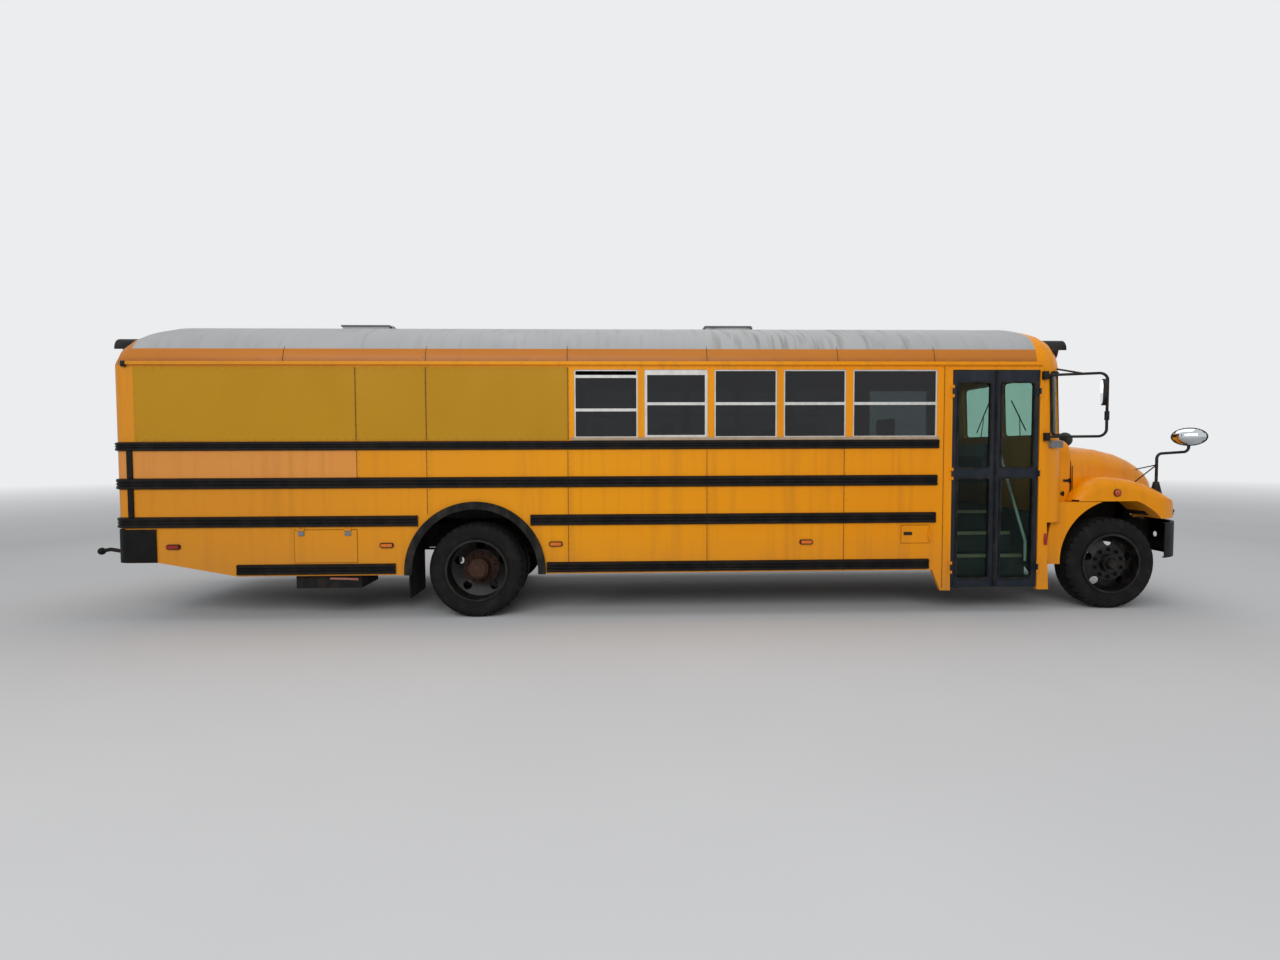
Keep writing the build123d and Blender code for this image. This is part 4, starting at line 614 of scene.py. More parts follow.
for name, deep, bright, ribs in (
    ("amber_lens", (196, 88, 8), (236, 128, 24), 90.0),
    ("deep_amber_lens", (150, 52, 6), (206, 84, 16), 90.0),
    ("red_lens", (120, 14, 10), (178, 26, 18), 90.0),
    ("white_lens", (206, 208, 208), (236, 236, 232), 60.0),
):
    lens(name, deep, bright, ribs)
paint = Paint("lamp_glass")
proud = (paint.x - along(nose_foot.x)) * nose_out.x + (paint.z - nose_foot.z) * nose_out.z
in_front = paint.span(proud, -0.010, -0.006)
pale = paint.blend(paint.noise(30.0), (176, 180, 182), (226, 228, 228))
paint.coat(
    Base_Color=paint.blend(in_front, (20, 20, 22), pale),
    Roughness=0.6 - in_front * 0.46,
    Specular_IOR_Level=0.3,
    Coat_Weight=in_front * 0.3,
)
print("lenses")

# %% [markdown]
# Tyre rubber is nearly black, greyer where it is dusty, and the wheel discs are black paint. On
# the rear wheels rust has run out from the hub and the nuts, so that paint turns brown with the
# distance from the axle, which a little arithmetic on the object's coordinates gives.

# %% Tyres and wheels
front_axle_x = box_middle("front_right_tyre", 0)
axle_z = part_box("rear_right_tyres")[1][2] / 2


def rubber():
    """Tyre rubber with dust on the sidewalls and wear on the tread."""
    paint = Paint("tyre_rubber")
    tone = paint.blend(paint.noise(4.0), (9, 9, 10), (17, 17, 18))
    dusty = paint.span(paint.noise(9.0, detail=5.0), 0.45, 0.8) * 0.3
    paint.coat(
        Base_Color=paint.blend(dusty, tone, (58, 54, 48)),
        Roughness=0.78,
        Specular_IOR_Level=0.2,
        Normal=paint.bump(paint.noise(300.0), 0.3, 0.003),
    )


def wheel_paint(name, centre_x, rust_reach):
    """Black disc paint whose middle is rusty as far as rust_reach from the axle."""
    paint = Paint(name)
    tone = paint.blend(paint.noise(6.0), (10, 10, 11), (20, 19, 19))
    dirt = paint.span(paint.noise(11.0, detail=5.0), 0.5, 0.75) * 0.3
    tone = paint.blend(dirt, tone, (86, 72, 60))
    away = ((paint.x - centre_x) ** 2.0 + (paint.z - axle_z) ** 2.0) ** 0.5
    rusty = 1.0 - paint.span(away + paint.noise(16.0) * 0.08, rust_reach, rust_reach + 0.05)
    rust = paint.blend(paint.noise(28.0), (40, 26, 20), (84, 54, 38))
    paint.coat(
        Base_Color=paint.blend(rusty * 0.85, tone, rust),
        Roughness=0.42 + rusty * 0.4,
        Specular_IOR_Level=0.3,
        Normal=paint.bump(paint.noise(90.0, detail=4.0), 0.35, 0.003),
    )


rubber()
wheel_paint("rear_wheel", rear_axle_x, 0.185)
wheel_paint("front_wheel", front_axle_x, 0.02)
print("wheel centres at", round(rear_axle_x, 3), round(front_axle_x, 3), "height", round(axle_z, 3))

# %% [markdown]
# Every rigid piece now takes its finish. The record names a slot for each, and only a few differ
# from their slot: the wheels by axle, the roof, and the door glass, paler than the windows.

# %% Dress the rigid pieces
slots = {row["node"]: row["material_slot"] for row in frame["record"]["subparts"]}
own_finish = {
    "rear_left_wheels": "rear_wheel",
    "rear_right_wheels": "rear_wheel",
    "front_left_wheel": "front_wheel",
    "front_right_wheel": "front_wheel",
    "door_leaf_rear_glass": "clear_glass",
    "door_leaf_front_glass": "clear_glass",
    "roof_hatch_front": "roof_lid",
    "roof_hatch_rear": "roof_lid",
    "roof_rear_cap": "roof_grey",
}
paints["seat_vinyl"] = paints["dash_plastic"]
for name, node in nodes.items():
    node.data.materials.clear()
    node.data.materials.append(paints[own_finish.get(name, slots[name])])
print(len(nodes), "rigid pieces dressed")

# %% [markdown]
# A tyre is one profile turned about the axle: bead, sidewall with two moulded rings, shoulder and
# a tread with four grooves. The profile is a few vertices, and spin turns it. Every third quad of
# the shoulder rows is then sunk with inset, which cuts the shoulder blocks.

# %% Tyres
side_words = ((curb, "right"), (driver, "left"))
tread_steps, lug_every, lug_depth = 108, 3, 0.009
shoulder_low, shoulder_high, shoulder_inner = 0.430, 0.465, 0.078
front_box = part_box("front_right_tyre")
tyre_half = (front_box[1][1] - front_box[0][1]) / 2
front_wheel_y = box_middle("front_left_tyre", 1)
rear_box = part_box("rear_left_tyres")
rear_outer_y, rear_inner_y = rear_box[1][1] - tyre_half, rear_box[0][1] + tyre_half

# Half of the profile: how far out from the tyre's middle plane, and the radius
tyre_profile = (
    (0.104, 0.298), (0.114, 0.306), (0.118, 0.322), (0.1235, 0.332), (0.1235, 0.338),
    (0.1245, 0.360), (0.1262, 0.384), (0.1240, 0.406), (0.1220, 0.420), (0.1205, 0.424),
    (0.1150, 0.436), (0.1000, 0.458), (0.0880, 0.464), (0.0680, 0.4655), (0.0660, 0.456),
    (0.0600, 0.456), (0.0580, 0.4658), (0.0220, 0.466), (0.0200, 0.456), (0.0140, 0.456),
    (0.0120, 0.466),
)


def turned_tyre(shape, centre):
    """One tyre about an axle along Y."""
    ring = tyre_profile + tuple((-out, radius) for out, radius in reversed(tyre_profile))
    start = bmesh.new()
    verts = [start.verts.new(centre + Vector((0, out, radius))) for out, radius in ring]
    for first, second in zip(verts, verts[1:] + verts[:1]):
        start.edges.new((first, second))
    bmesh.ops.spin(
        start, geom=verts + start.edges[:], cent=centre, axis=y_axis, angle=2 * math.pi,
        steps=tread_steps, use_merge=True
    )
    lugs = []
    for face in start.faces:
        middle = face.calc_center_median() - centre
        radius = math.hypot(middle.x, middle.z)
        turn = math.atan2(middle.z, middle.x) / (2 * math.pi) * tread_steps
        in_row = shoulder_low < radius < shoulder_high and abs(middle.y) > shoulder_inner
        if in_row and math.floor(turn) % lug_every == 0:
            lugs.append(face)
    bmesh.ops.recalc_face_normals(start, faces=start.faces)
    bmesh.ops.inset_individual(
        start, faces=lugs, thickness=0.0015, depth=-lug_depth, use_even_offset=True
    )
    merge_into(shape, start)


for axle, x, places, ending in (
    ("front", front_axle_x, (front_wheel_y,), "tyre"),
    ("rear", rear_axle_x, (rear_outer_y, rear_inner_y), "tyres"),
):
    for side, word in side_words:
        shape = bmesh.new()
        for y in places:
            turned_tyre(shape, Vector((x, side * y, axle_z)))
        node = f"{axle}_{word}_{ending}"
        body = f"{axle}_{word}_wheel_set"
        tread = piece(f"{node}_tread", shape, "tyre_rubber", body=body, crease=28.0)
        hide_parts(node)
        print(node, len(tread.data.polygons), "faces")

# %% [markdown]
# The disc wheels carry ten nuts on studs, a bolted hub flange and an air valve. A nut is a
# six-sided cone stump with a stud through it, so ten of them are a loop around the circle.

# %% Wheel nuts and hubs
stud_circle, nut_count = 0.28575 / 2, 10


def around(centre, radius, count, shift=0.5):
    """Points on a circle about an axle along Y."""
    for number in range(count):
        angle = 2 * math.pi * (number + shift) / count
        yield centre + Vector((radius * math.cos(angle), 0, radius * math.sin(angle)))


def wheel_nuts(axle, x, seat_y, reach, flange):
    """Nuts, studs and a hub flange on the outside of an axle's two wheels."""
    for side, word in side_words:
        shape = bmesh.new()
        seat, out = Vector((x, side * seat_y, axle_z)), y_axis * side
        for place in around(seat, stud_circle, nut_count):
            add_rod(shape, place, place + out * 0.006, 0.024, 16)
            add_rod(shape, place + out * 0.004, place + out * 0.030, 0.0195, 6, 0.0175)
            add_rod(shape, place + out * 0.02, place + out * reach, 0.0105, 10)
        if flange:
            face = seat + out * flange
            add_rod(shape, face - out * 0.03, face + out * 0.012, 0.082, 32, 0.078)
            for place in around(face, 0.066, 8, 0.25):
                add_rod(shape, place, place + out * 0.020, 0.0105, 6)
            add_dome(shape, face + out * 0.010, out, 0.045, 0.012)
        else:
            cap = seat + out * 0.09
            add_rod(shape, cap - out * 0.01, cap + out * 0.006, 0.058, 28, 0.050)
            for place in around(cap, 0.044, 6):
                add_rod(shape, place, place + out * 0.012, 0.007, 6)
        valve = seat + Vector((0.19, 0, 0.05))
        add_rod(shape, valve - out * 0.02, valve + out * 0.05, 0.006, 8)
        name, body = f"{axle}_{word}_wheel_nuts", f"{axle}_{word}_wheel_set"
        piece(name, shape, f"{axle}_wheel", body, 30.0)


wheel_nuts("front", front_axle_x, front_wheel_y + 0.076, 0.040, 0)
wheel_nuts("rear", rear_axle_x, (rear_outer_y + rear_inner_y) / 2 + 0.014, 0.044, 0.176)
print("nuts on four wheels")

# %% [markdown]
# The bench cushions are foam under vinyl. One cushion and one back are modelled as closed crowned
# forms and blown up a little with cloth pressure, which pulls the sides in between the corners.
# Their finished meshes are then repeated at every bench, because all benches are alike.

# %% Vinyl and foam
swell = 0.012


def vinyl():
    """Dark vinyl with a fine leather grain and paler worn patches."""
    paint = Paint("seat_vinyl")
    tone = paint.blend(paint.noise(5.0), (34, 38, 44), (48, 52, 58))
    worn = paint.span(paint.noise(14.0, detail=5.0), 0.55, 0.8) * 0.4
    grain = paint.node("ShaderNodeTexVoronoi", {}, {"Vector": paint.place, "Scale": 260.0})
    paint.coat(
        Base_Color=paint.blend(worn, tone, (84, 84, 82)),
        Roughness=0.46 + worn * 0.3,
        Normal=paint.bump(grain + paint.noise(9.0) * 2.0, 0.3, 0.002),
    )


def foam(name, low, high, cuts):
    """A closed cushion with rounded edges between two corners, crowned by cloth pressure."""
    shape = bmesh.new()
    add_box(shape, low, high, 0.022, 3)
    long_edges = [edge for edge in shape.edges if edge.calc_length() > 0.05]
    bmesh.ops.subdivide_edges(shape, edges=long_edges, cuts=cuts, use_grid_fill=True)
    bmesh.ops.recalc_face_normals(shape, faces=shape.faces)
    cushion = placed(name, mesh_of(name, shape))
    blow_up(cushion)
    return cushion


def blow_up(cushion):
    """Runs cloth pressure inside a closed mesh, and lets no point move further than swell."""
    start = [vert.co.copy() for vert in cushion.data.vertices]
    cloth = cushion.modifiers.new("cloth", "CLOTH")
    cloth.settings.use_pressure = True
    cloth.settings.uniform_pressure_force = 4.0
    cloth.settings.effector_weights.gravity = 0.0
    scene = bpy.context.scene
    for number in range(1, 21):
        scene.frame_set(number)
    graph = bpy.context.evaluated_depsgraph_get()
    blown = cushion.evaluated_get(graph).to_mesh()
    places = [vert.co.copy() for vert in blown.vertices]
    cushion.evaluated_get(graph).to_mesh_clear()
    cushion.modifiers.remove(cloth)
    for vert, first, last in zip(cushion.data.vertices, start, places):
        moved = last - first
        if moved.length > swell:
            moved = moved.normalized() * swell
        vert.co = first + moved
    scene.frame_set(1)


vinyl()
print("vinyl and foam ready")

# %% Benches
bench_first, bench_pitch, bench_rows = -2.85, 0.72, 10
bench_clear_of_wheels = 0.94
bench_outer = half_width - (0.045 + 0.020)
bench_inner = bench_outer - 0.96
cushion_low, cushion_high = 1.290, 1.400
floor_level = 0.966
bench_stations = [bench_first + bench_pitch * number for number in range(bench_rows)]
bench_stations = [place for place in bench_stations if abs(place) > bench_clear_of_wheels]


def repeated(name, model):
    """A model's mesh at every bench on both sides, as one object, after which the model goes."""
    shape = bmesh.new()
    for station in bench_stations:
        for flip in (1, -1):
            copy = bmesh.new()
            copy.from_mesh(model.data)
            bmesh.ops.scale(copy, vec=(1, flip, 1), verts=copy.verts)
            bmesh.ops.translate(copy, vec=(along(station), 0, 0), verts=copy.verts)
            merge_into(shape, copy)
    spare = model.data
    bpy.data.objects.remove(model)
    bpy.data.meshes.remove(spare)
    return piece(name, shape, "seat_vinyl", crease=60.0)


outer, inner = -bench_outer + 0.012, -bench_inner - 0.012
seat_model = foam(
    "seat_model", (-0.178, outer, cushion_low + 0.012), (0.178, inner, cushion_high - 0.012), 9
)
cushions = repeated("bench_cushions", seat_model)
back_model = foam("back_model", (-0.045, outer, 1.385), (0.040, inner, 1.918), 9)
for vert in back_model.data.vertices:
    vert.co.x += -0.215 - 0.1133 * (vert.co.z - 1.29)
backs = repeated("bench_backs", back_model)
print(2 * len(bench_stations), "benches,", len(cushions.data.polygons), "faces of cushions")

# %% [markdown]
# Under each bench is a bent steel tube frame with four legs on floor feet. They are rods and thin
# plates, repeated along the floor in one mesh. The driver's seat is padded too, on a pedestal.

# %% Bench frames
shape = bmesh.new()
leg_radius = 0.0125
for station in bench_stations:
    for side in (curb, driver):
        for across in (bench_inner + 0.12, bench_outer - 0.08):
            legs = [spot(station + shift, side * across, 0) for shift in (0.12, -0.16)]
            for leg in legs:
                foot = leg + z_axis * floor_level
                add_rod(shape, foot, leg + z_axis * cushion_low, leg_radius, 10)
                plate = Vector((0.035, 0.022, 0))
                add_box(shape, foot - plate, foot + plate + z_axis * 0.004, 0.002, 1)
            front_end, rear_end = [leg + z_axis * (cushion_low - 0.012) for leg in legs]
            add_rod(shape, front_end, rear_end, leg_radius, 10)
piece("bench_frames", shape, "frame_steel", crease=40.0)

post = spot(5.0, 0.56, 0)
for cushion in (
    foam("driver_cushion", (-0.20, -0.225, 1.345), (0.205, 0.225, 1.428), 8),
    foam("driver_back", (-0.298, -0.215, 1.44), (-0.212, 0.215, 2.035), 8),
):
    for vert in cushion.data.vertices:
        vert.co += post
    cushion.data.materials.append(paints["seat_vinyl"])
    cushion.data.shade_smooth()
    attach(cushion, "root")
    finer = cushion.modifiers.new("finer", "SUBSURF")
    finer.levels = finer.render_levels = 1
shape = bmesh.new()
add_rod(shape, post + z_axis * floor_level, post + z_axis * 1.25, 0.07, 24, 0.06)
for low, high, bevel in (
    ((-0.18, -0.18, 1.25), (0.18, 0.18, 1.335), 0.012),
    ((-0.27, -0.16, 1.34), (-0.235, 0.16, 1.47), 0.008),
):
    add_box(shape, post + Vector(low), post + Vector(high), bevel)
piece("driver_pedestal", shape, "frame_steel", crease=40.0)
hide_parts("seats")
print("bench frames and the driver's seat")

# %% [markdown]
# The shell is steel sheets lapped over hoops. A lap shows as a dark line of painted shade, which
# stands in for the hairline shadow at the lap's edge, with a row of rivets beside it, on the sides
# and over the roof. The lines on the roof follow its rounded section, so each is a strip of points
# around the same arc centres as the roof itself.

# %% Seams and rivets
wall_top, sill_height, skirt_bottom = 2.474, 1.768, 0.436
roof_hinges_proud = 0.058
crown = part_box("roof_panels")[1][2] - roof_hinges_proud

# Side seams: station, lowest and highest point
side_seams = (
    (0.910, skirt_bottom, 1.650),
    (2.275, skirt_bottom, 1.650),
    (-0.457, 1.030, 1.650),
    (-1.127, 1.370, 1.650),
    (3.640, skirt_bottom, 1.650),
    (4.640, 0.250, wall_top),
)
seams, rivets = bmesh.new(), bmesh.new()
for side in (curb, driver):
    y, out = side * half_width, y_axis * side
    for station, low, high in side_seams:
        width = (station - 0.0022, station + 0.0022)
        side_box(seams, side, half_width, 0.0012, width, (low, high))
        beside = station + 0.018
        rivet_row(rivets, (beside, y, low + 0.03), (beside, y, high - 0.03), 0.065, out)
    for station in (0.925, 2.290):
        rivet_row(rivets, (station, y, sill_height), (station, y, wall_top), 0.065, out)
    # The lap under the gutter
    lap = wall_top - 0.018
    rivet_row(rivets, (-3.25, y, lap), (5.60, y, lap), 0.075, out, 0.005)
# The seams are dark lines of painted shade, for the hairline shadow at each lap
piece("side_seams", seams, "seam_shade")
piece("side_rivets", rivets, "bus_yellow", crease=50.0)
print(len(side_seams), "seams on each side, and a crown at", round(crown, 3))

# %% Roof hoops
roof_rise = crown - wall_top
shoulder = Vector((0, half_width - 0.233, wall_top + roof_rise * 0.653))
bend = Vector((0, half_width - 0.064, wall_top + roof_rise * 0.397))
eave = Vector((0, half_width, wall_top))
top = Vector((0, 0, crown))
hoop_stations = (-1.81, -0.456, 0.910, 2.275, 3.57, 4.54)
hoop_steps = 72


def arc_centre(first, second, third):
    """The centre of the circle through three points in a plane across the bus."""
    a, b, c = [Vector((p.y, p.z)) for p in (first, second, third)]
    ab, ac = b - a, c - a
    turn = 2 * (ab.x * ac.y - ab.y * ac.x)
    up = (ac.y * ab.length_squared - ab.y * ac.length_squared) / turn
    over = (ab.x * ac.length_squared - ac.x * ab.length_squared) / turn
    return Vector((0, a.x + up, a.y + over))


side_centre = arc_centre(eave, bend, shoulder)
crown_centre = arc_centre(shoulder, top, Vector((0, -shoulder.y, shoulder.z)))
side_radius = (eave - side_centre).length
crown_radius = (top - crown_centre).length
side_length = (eave - side_centre).angle(shoulder - side_centre) * side_radius
crown_length = (shoulder - crown_centre).angle(top - crown_centre) * crown_radius


def roof_point(share):
    """A point on the roof's section from the curb eave, 0, over the crown to the other, 1."""
    way = abs(share - 0.5) * 2 * (side_length + crown_length)
    sign = 1 if share > 0.5 else -1
    if way < crown_length:
        angle = way / crown_radius
        out = Vector((0, math.sin(angle), math.cos(angle)))
        place = crown_centre + out * crown_radius
    else:
        turn = Matrix.Rotation((crown_length - way) / side_radius, 3, "X")
        out = (turn @ (shoulder - side_centre)).normalized()
        place = side_centre + out * side_radius
    return Vector((0, sign * place.y, place.z)), Vector((0, sign * out.y, out.z))


hoops, hoop_rivets = bmesh.new(), bmesh.new()
for station in hoop_stations:
    strip = bmesh.new()
    verts = []
    for number in range(hoop_steps + 1):
        place, out = roof_point(number / hoop_steps)
        verts.append(strip.verts.new(place + out * 0.0016 + x_axis * (along(station) - 0.0026)))
        if number % 2 == 0:
            for shift in (-0.022, 0.022):
                add_rivet(hoop_rivets, place + x_axis * (along(station) + shift), out, 0.0060)
    edges = [strip.edges.new(pair) for pair in zip(verts, verts[1:])]
    made = bmesh.ops.extrude_edge_only(strip, edges=edges)
    moved = [item for item in made["geom"] if isinstance(item, bmesh.types.BMVert)]
    bmesh.ops.translate(strip, vec=x_axis * 0.0052, verts=moved)
    bmesh.ops.solidify(strip, geom=strip.faces[:], thickness=0.0014)
    merge_into(hoops, strip)
# The hoop strips take the seam colour, painted shade for the hairline shadow at each lap
piece("roof_hoop_seams", hoops, "seam_shade")
piece("roof_rivets", hoop_rivets, "roof_grey", crease=50.0)
print(len(hoop_stations), "hoops over the roof")

# %% [markdown]
# Below the windows runs a pale aluminium sill strip that carries the frames. The black rails are
# held by small screws along both their flats.

# %% Sill strip and rail screws
strip_ends, strip_heights = (0.945, 4.592), (1.743, sill_height + 0.004)
rail_proud = 0.024
rails = (
    # centre height, half height of the screw lines, rear and front station
    (1.698, 0.036, -3.26, 4.56),
    (1.339, 0.044, -3.26, 4.55),
    (0.966, 0.044, -3.26, -0.58),
    (0.966, 0.044, 0.57, 4.54),
    (0.500, 0.042, -2.26, -0.80),
    (0.500, 0.042, 0.72, 4.47),
)
strip, screws = bmesh.new(), bmesh.new()
for side in (curb, driver):
    side_box(strip, side, half_width, 0.007, strip_ends, strip_heights, 0.002, 1)
    y = side * (half_width + rail_proud) - side * 0.002
    for centre, spread, rear, front in rails:
        for height in (centre - spread, centre + spread):
            rivet_row(screws, (rear, y, height), (front, y, height), 0.23, y_axis * side, 0.006)
piece("sill_strip", strip, "sill_strip")
piece("rail_screws", screws, "rail_black", crease=50.0)
print("sill strip and screws")

# %% [markdown]
# Each pane of the entrance sits in a black rubber channel, a thin rounded frame, and rubber also
# closes the gap between the two leaves. Pale nosings and rails show through the door glass.

# %% Door rubber and fittings
leaf_y = half_width - 0.006
door_foot, door_head, stile = 0.256, 2.425, 0.052
front_leaf = (5.1765, 5.607)
leaf_panes = ((door_foot + 0.095, 1.352), (1.462, door_head - 0.120))

for word, low, high, edge in (
    ("rear", 4.734, 5.1645, 5.1645),
    ("front", *front_leaf, front_leaf[0]),
):
    seals, metal = bmesh.new(), bmesh.new()
    for bottom, head in leaf_panes:
        place = facing(spot((low + high) / 2, -leaf_y, (bottom + head) / 2), x_axis)
        width, height = high - low - 2 * stile + 0.022, head - bottom + 0.022
        add_plate(seals, place, width, height, 0.036, 0.005, 0.016)
    add_box(
        seals, spot(edge - 0.0045, -leaf_y - 0.010, door_foot + 0.01),
        spot(edge + 0.0045, -leaf_y + 0.02, door_head - 0.01), 0.002
    )
    # The kick plate at the foot
    add_box(
        metal, spot(low + 0.02, -leaf_y - 0.0025, door_foot + 0.012),
        spot(high - 0.02, -leaf_y, door_foot + 0.075), 0.001, 1
    )
    y, z = -leaf_y - 0.002, door_foot + 0.062
    rivet_row(metal, (low + 0.035, y, z), (high - 0.035, y, z), 0.09, -y_axis, 0.005)
    leaf = f"entrance_{word}_leaf"
    piece(f"door_seals_{word}", seals, "black_rubber", body=leaf)
    piece(f"door_kick_plate_{word}", metal, "door_paint", body=leaf)

# A pale grab bar inside the front leaf's middle rail
shape = bmesh.new()
ends = (front_leaf[0] + 0.09, front_leaf[1] - 0.09)
add_rod(shape, spot(ends[0], 0.060 - leaf_y, 1.4), spot(ends[1], 0.060 - leaf_y, 1.4), 0.011, 14)
for end in ends:
    add_rod(shape, spot(end, 0.062 - leaf_y, 1.4), spot(end, 0.030 - leaf_y, 1.4), 0.009, 12)
piece("door_grab_bar", shape, "frame_white", body="entrance_front_leaf")

# The bright nosings on the steps, and the ribbed treads behind them
step_rear, step_front, step_run = 4.748, 5.613, 0.228
step_outer = half_width - 0.051
nosings, treads = bmesh.new(), bmesh.new()


def step_box(shape, across, heights, bevel=0.0):
    """A box over the width of the steps."""
    low, high = spot(step_rear, across[0], heights[0]), spot(step_front, across[1], heights[1])
    add_box(shape, low, high, bevel, 1)


for number, height in enumerate((0.335, 0.545, 0.755, floor_level)):
    y = -step_outer + number * step_run
    if number:
        step_box(nosings, (y - 0.012, y - 0.009), (height - 0.028, height + 0.003))
    over = y - (0.010 if number else 0)
    step_box(nosings, (over, y + 0.026), (height + 0.0003, height + 0.0035), 0.001)
    for groove in range(9 if number < 3 else 0):
        at = y + 0.045 + groove * 0.019
        step_box(treads, (at, at + 0.010), (height + 0.0003, height + 0.003))
piece("step_nosings", nosings, "sill_strip")
piece("step_treads", treads, "black_rubber")

# Handrails at the doorway
shape = bmesh.new()
for station in (4.760, 5.560):
    foot, head = spot(station, -1.10, 0.70), spot(station, -0.62, 1.55)
    for start, end in (
        (foot, head), (foot, spot(station, -1.10, 0.50)), (head, spot(station, -0.62, floor_level))
    ):
        add_rod(shape, start, end, 0.015, 14)
piece("entrance_handrails", shape, "frame_white")
print("door rubber, steps and handrails")

# %% [markdown]
# Lamps are domed lenses on the frame's black housings: amber and red over the windscreen and the
# rear door, amber and red along the skirt, and red, amber and white ones on the rear wall.

# %% Lamp lenses
lamp_z = crown - 0.330
front_plane, rear_end = 5.905, -3.421
amber, red, white = bmesh.new(), bmesh.new(), bmesh.new()
rims, turn_lamps = bmesh.new(), bmesh.new()
for side in (curb, driver):
    out = y_axis * side
    # Warning lamps: station and the way that they look
    for station, way in ((front_plane - 0.012, x_axis), (rear_end + 0.012, -x_axis)):
        for across, shape in ((0.640, amber), (0.960, red)):
            place = spot(station, side * across, lamp_z)
            add_dome(shape, place, way, 0.084, 0.022, 32, 10)
            add_rod(shape, place - way * 0.004, place + way * 0.003, 0.086, 32)
    # Markers along the skirt
    for station, shape in ((-2.884, red), (-0.854, amber), (0.786, amber), (3.264, amber)):
        base = facing(spot(station, side * (half_width + 0.0163), 0.730), x_axis * -side)
        add_plate(shape, base, 0.112, 0.032, 0.014, 0.0035)
        add_plate(shape, base @ Matrix.Translation((0, 0, 0.0035)), 0.100, 0.022, 0.010, 0.003)
    # The round turn lamps on the fenders
    place = spot(6.490, side * 1.132, 1.194)
    add_rod(rims, place - out * 0.003, place + out * 0.010, 0.041, 28, 0.039)
    add_dome(turn_lamps, place + out * 0.009, out, 0.036, 0.014, 24, 8)
    # Rear wall: across, height, radius of the lens, colour
    for across, height, radius, shape in (
        (0.930, 1.523, 0.074, amber), (0.930, 1.152, 0.074, red), (0.720, 1.152, 0.042, white)
    ):
        place = spot(rear_end - 0.028, side * across, height)
        add_dome(shape, place, -x_axis, radius, 0.014, 28, 8)
piece("fender_lamp_rims", rims, "black_rubber", "tilt_hood")
piece("fender_lamps", turn_lamps, "deep_amber_lens", "tilt_hood", 60.0)
for name, shape in (("amber", amber), ("red", red), ("white", white)):
    piece(f"{name}_lenses", shape, f"{name}_lens", crease=60.0)

# The headlamps: a bright bowl and an amber turn lamp behind the clear cover, on the nose's slope
lamp_height, cover_proud = 1.006, 0.005
bezels, bowls, turn_lenses = bmesh.new(), bmesh.new(), bmesh.new()
base = nose_foot + nose_up * ((lamp_height - nose_foot.z) / nose_up.z) + nose_out * cover_proud
for side in (curb, driver):
    for across, radius, inside, lift, bulb, bulge, sides in (
        (0.768, 0.062, bowls, 0.004, 0.024, 0.010, 20),
        (0.908, 0.046, turn_lenses, 0.003, 0.040, 0.008, 28),
    ):
        place = spot(base.x, side * across, base.z)
        back, front = place - nose_out * 0.003, place + nose_out * 0.0035
        add_rod(bezels, back, front, radius + 0.007, 36, radius + 0.004)
        add_rod(inside, place, place + nose_out * 0.0045, radius, 36, radius - 0.004)
        add_dome(inside, place + nose_out * lift, nose_out, bulb, bulge, sides, 8)
piece("headlamp_bezels", bezels, "black_plastic", "tilt_hood", 50.0)
piece("headlamp_bowls", bowls, "chrome", "tilt_hood", 50.0)
piece("headlamp_turn_lenses", turn_lenses, "amber_lens", "tilt_hood", 50.0)

# The folding sign on the driver's side: a pale border and two red lamps on each face
sign = spot(5.190, half_width + 0.040, 1.495)
sign_half, sign_thick = 0.228, 0.005
border, rims, lenses = bmesh.new(), bmesh.new(), bmesh.new()
for out in (y_axis, -y_axis):
    face = sign + out * sign_thick
    flat = facing(face, z_axis.cross(out)) @ Matrix.Rotation(math.radians(22.5), 4, "Z")
    start = bmesh.new()
    bmesh.ops.create_circle(
        start, cap_ends=True, segments=8, radius=(sign_half - 0.006) / math.cos(math.pi / 8),
        matrix=flat
    )
    hollow_out(start, start.faces[:], 0.014)
    raise_up(start, out * 0.0008)
    merge_into(border, start)
    for rise in (-0.155, 0.155):
        place = face + z_axis * rise
        add_rod(rims, place, place + out * 0.006, 0.048, 32, 0.046)
        add_dome(lenses, place + out * 0.005, out, 0.042, 0.010, 28, 8)
piece("sign_border", border, "white_lens", "stop_sign_arm")
piece("sign_lamp_rims", rims, "black_plastic", "stop_sign_arm", 50.0)
piece("sign_lamp_lenses", lenses, "red_lens", "stop_sign_arm", 60.0)
print("lenses on every lamp")

# %% [markdown]
# The windscreen leans back a little and its corner panes are bent. Their rubber is a flat ring
# that is first drawn upright and then moved onto the leaning front, or wrapped around the corner.

# %% Windscreen rubber, wipers and corner panes
lean = (5.734 - 5.640) / (wall_top - 0.228)
screen_low, screen_high = 1.742 + 0.045, wall_top - 0.070
screen_middle = (screen_low + screen_high) / 2
screen_height = screen_high - screen_low
corner_station, corner_radius = 5.640, 0.265
corner_y = half_width - corner_radius
front_up = Vector((-lean, 0, 1)).normalized()
pane_half = corner_radius * math.asin(0.125 / corner_radius)


def leaning_back(height):
    """How far forward of its place at the eave the front stands at a height."""
    return lean * (wall_top - height)


def on_front(across, height, proud=0.0):
    """A point on the leaning front, or proud of it."""
    return spot(front_plane + leaning_back(height) + proud, across, height)


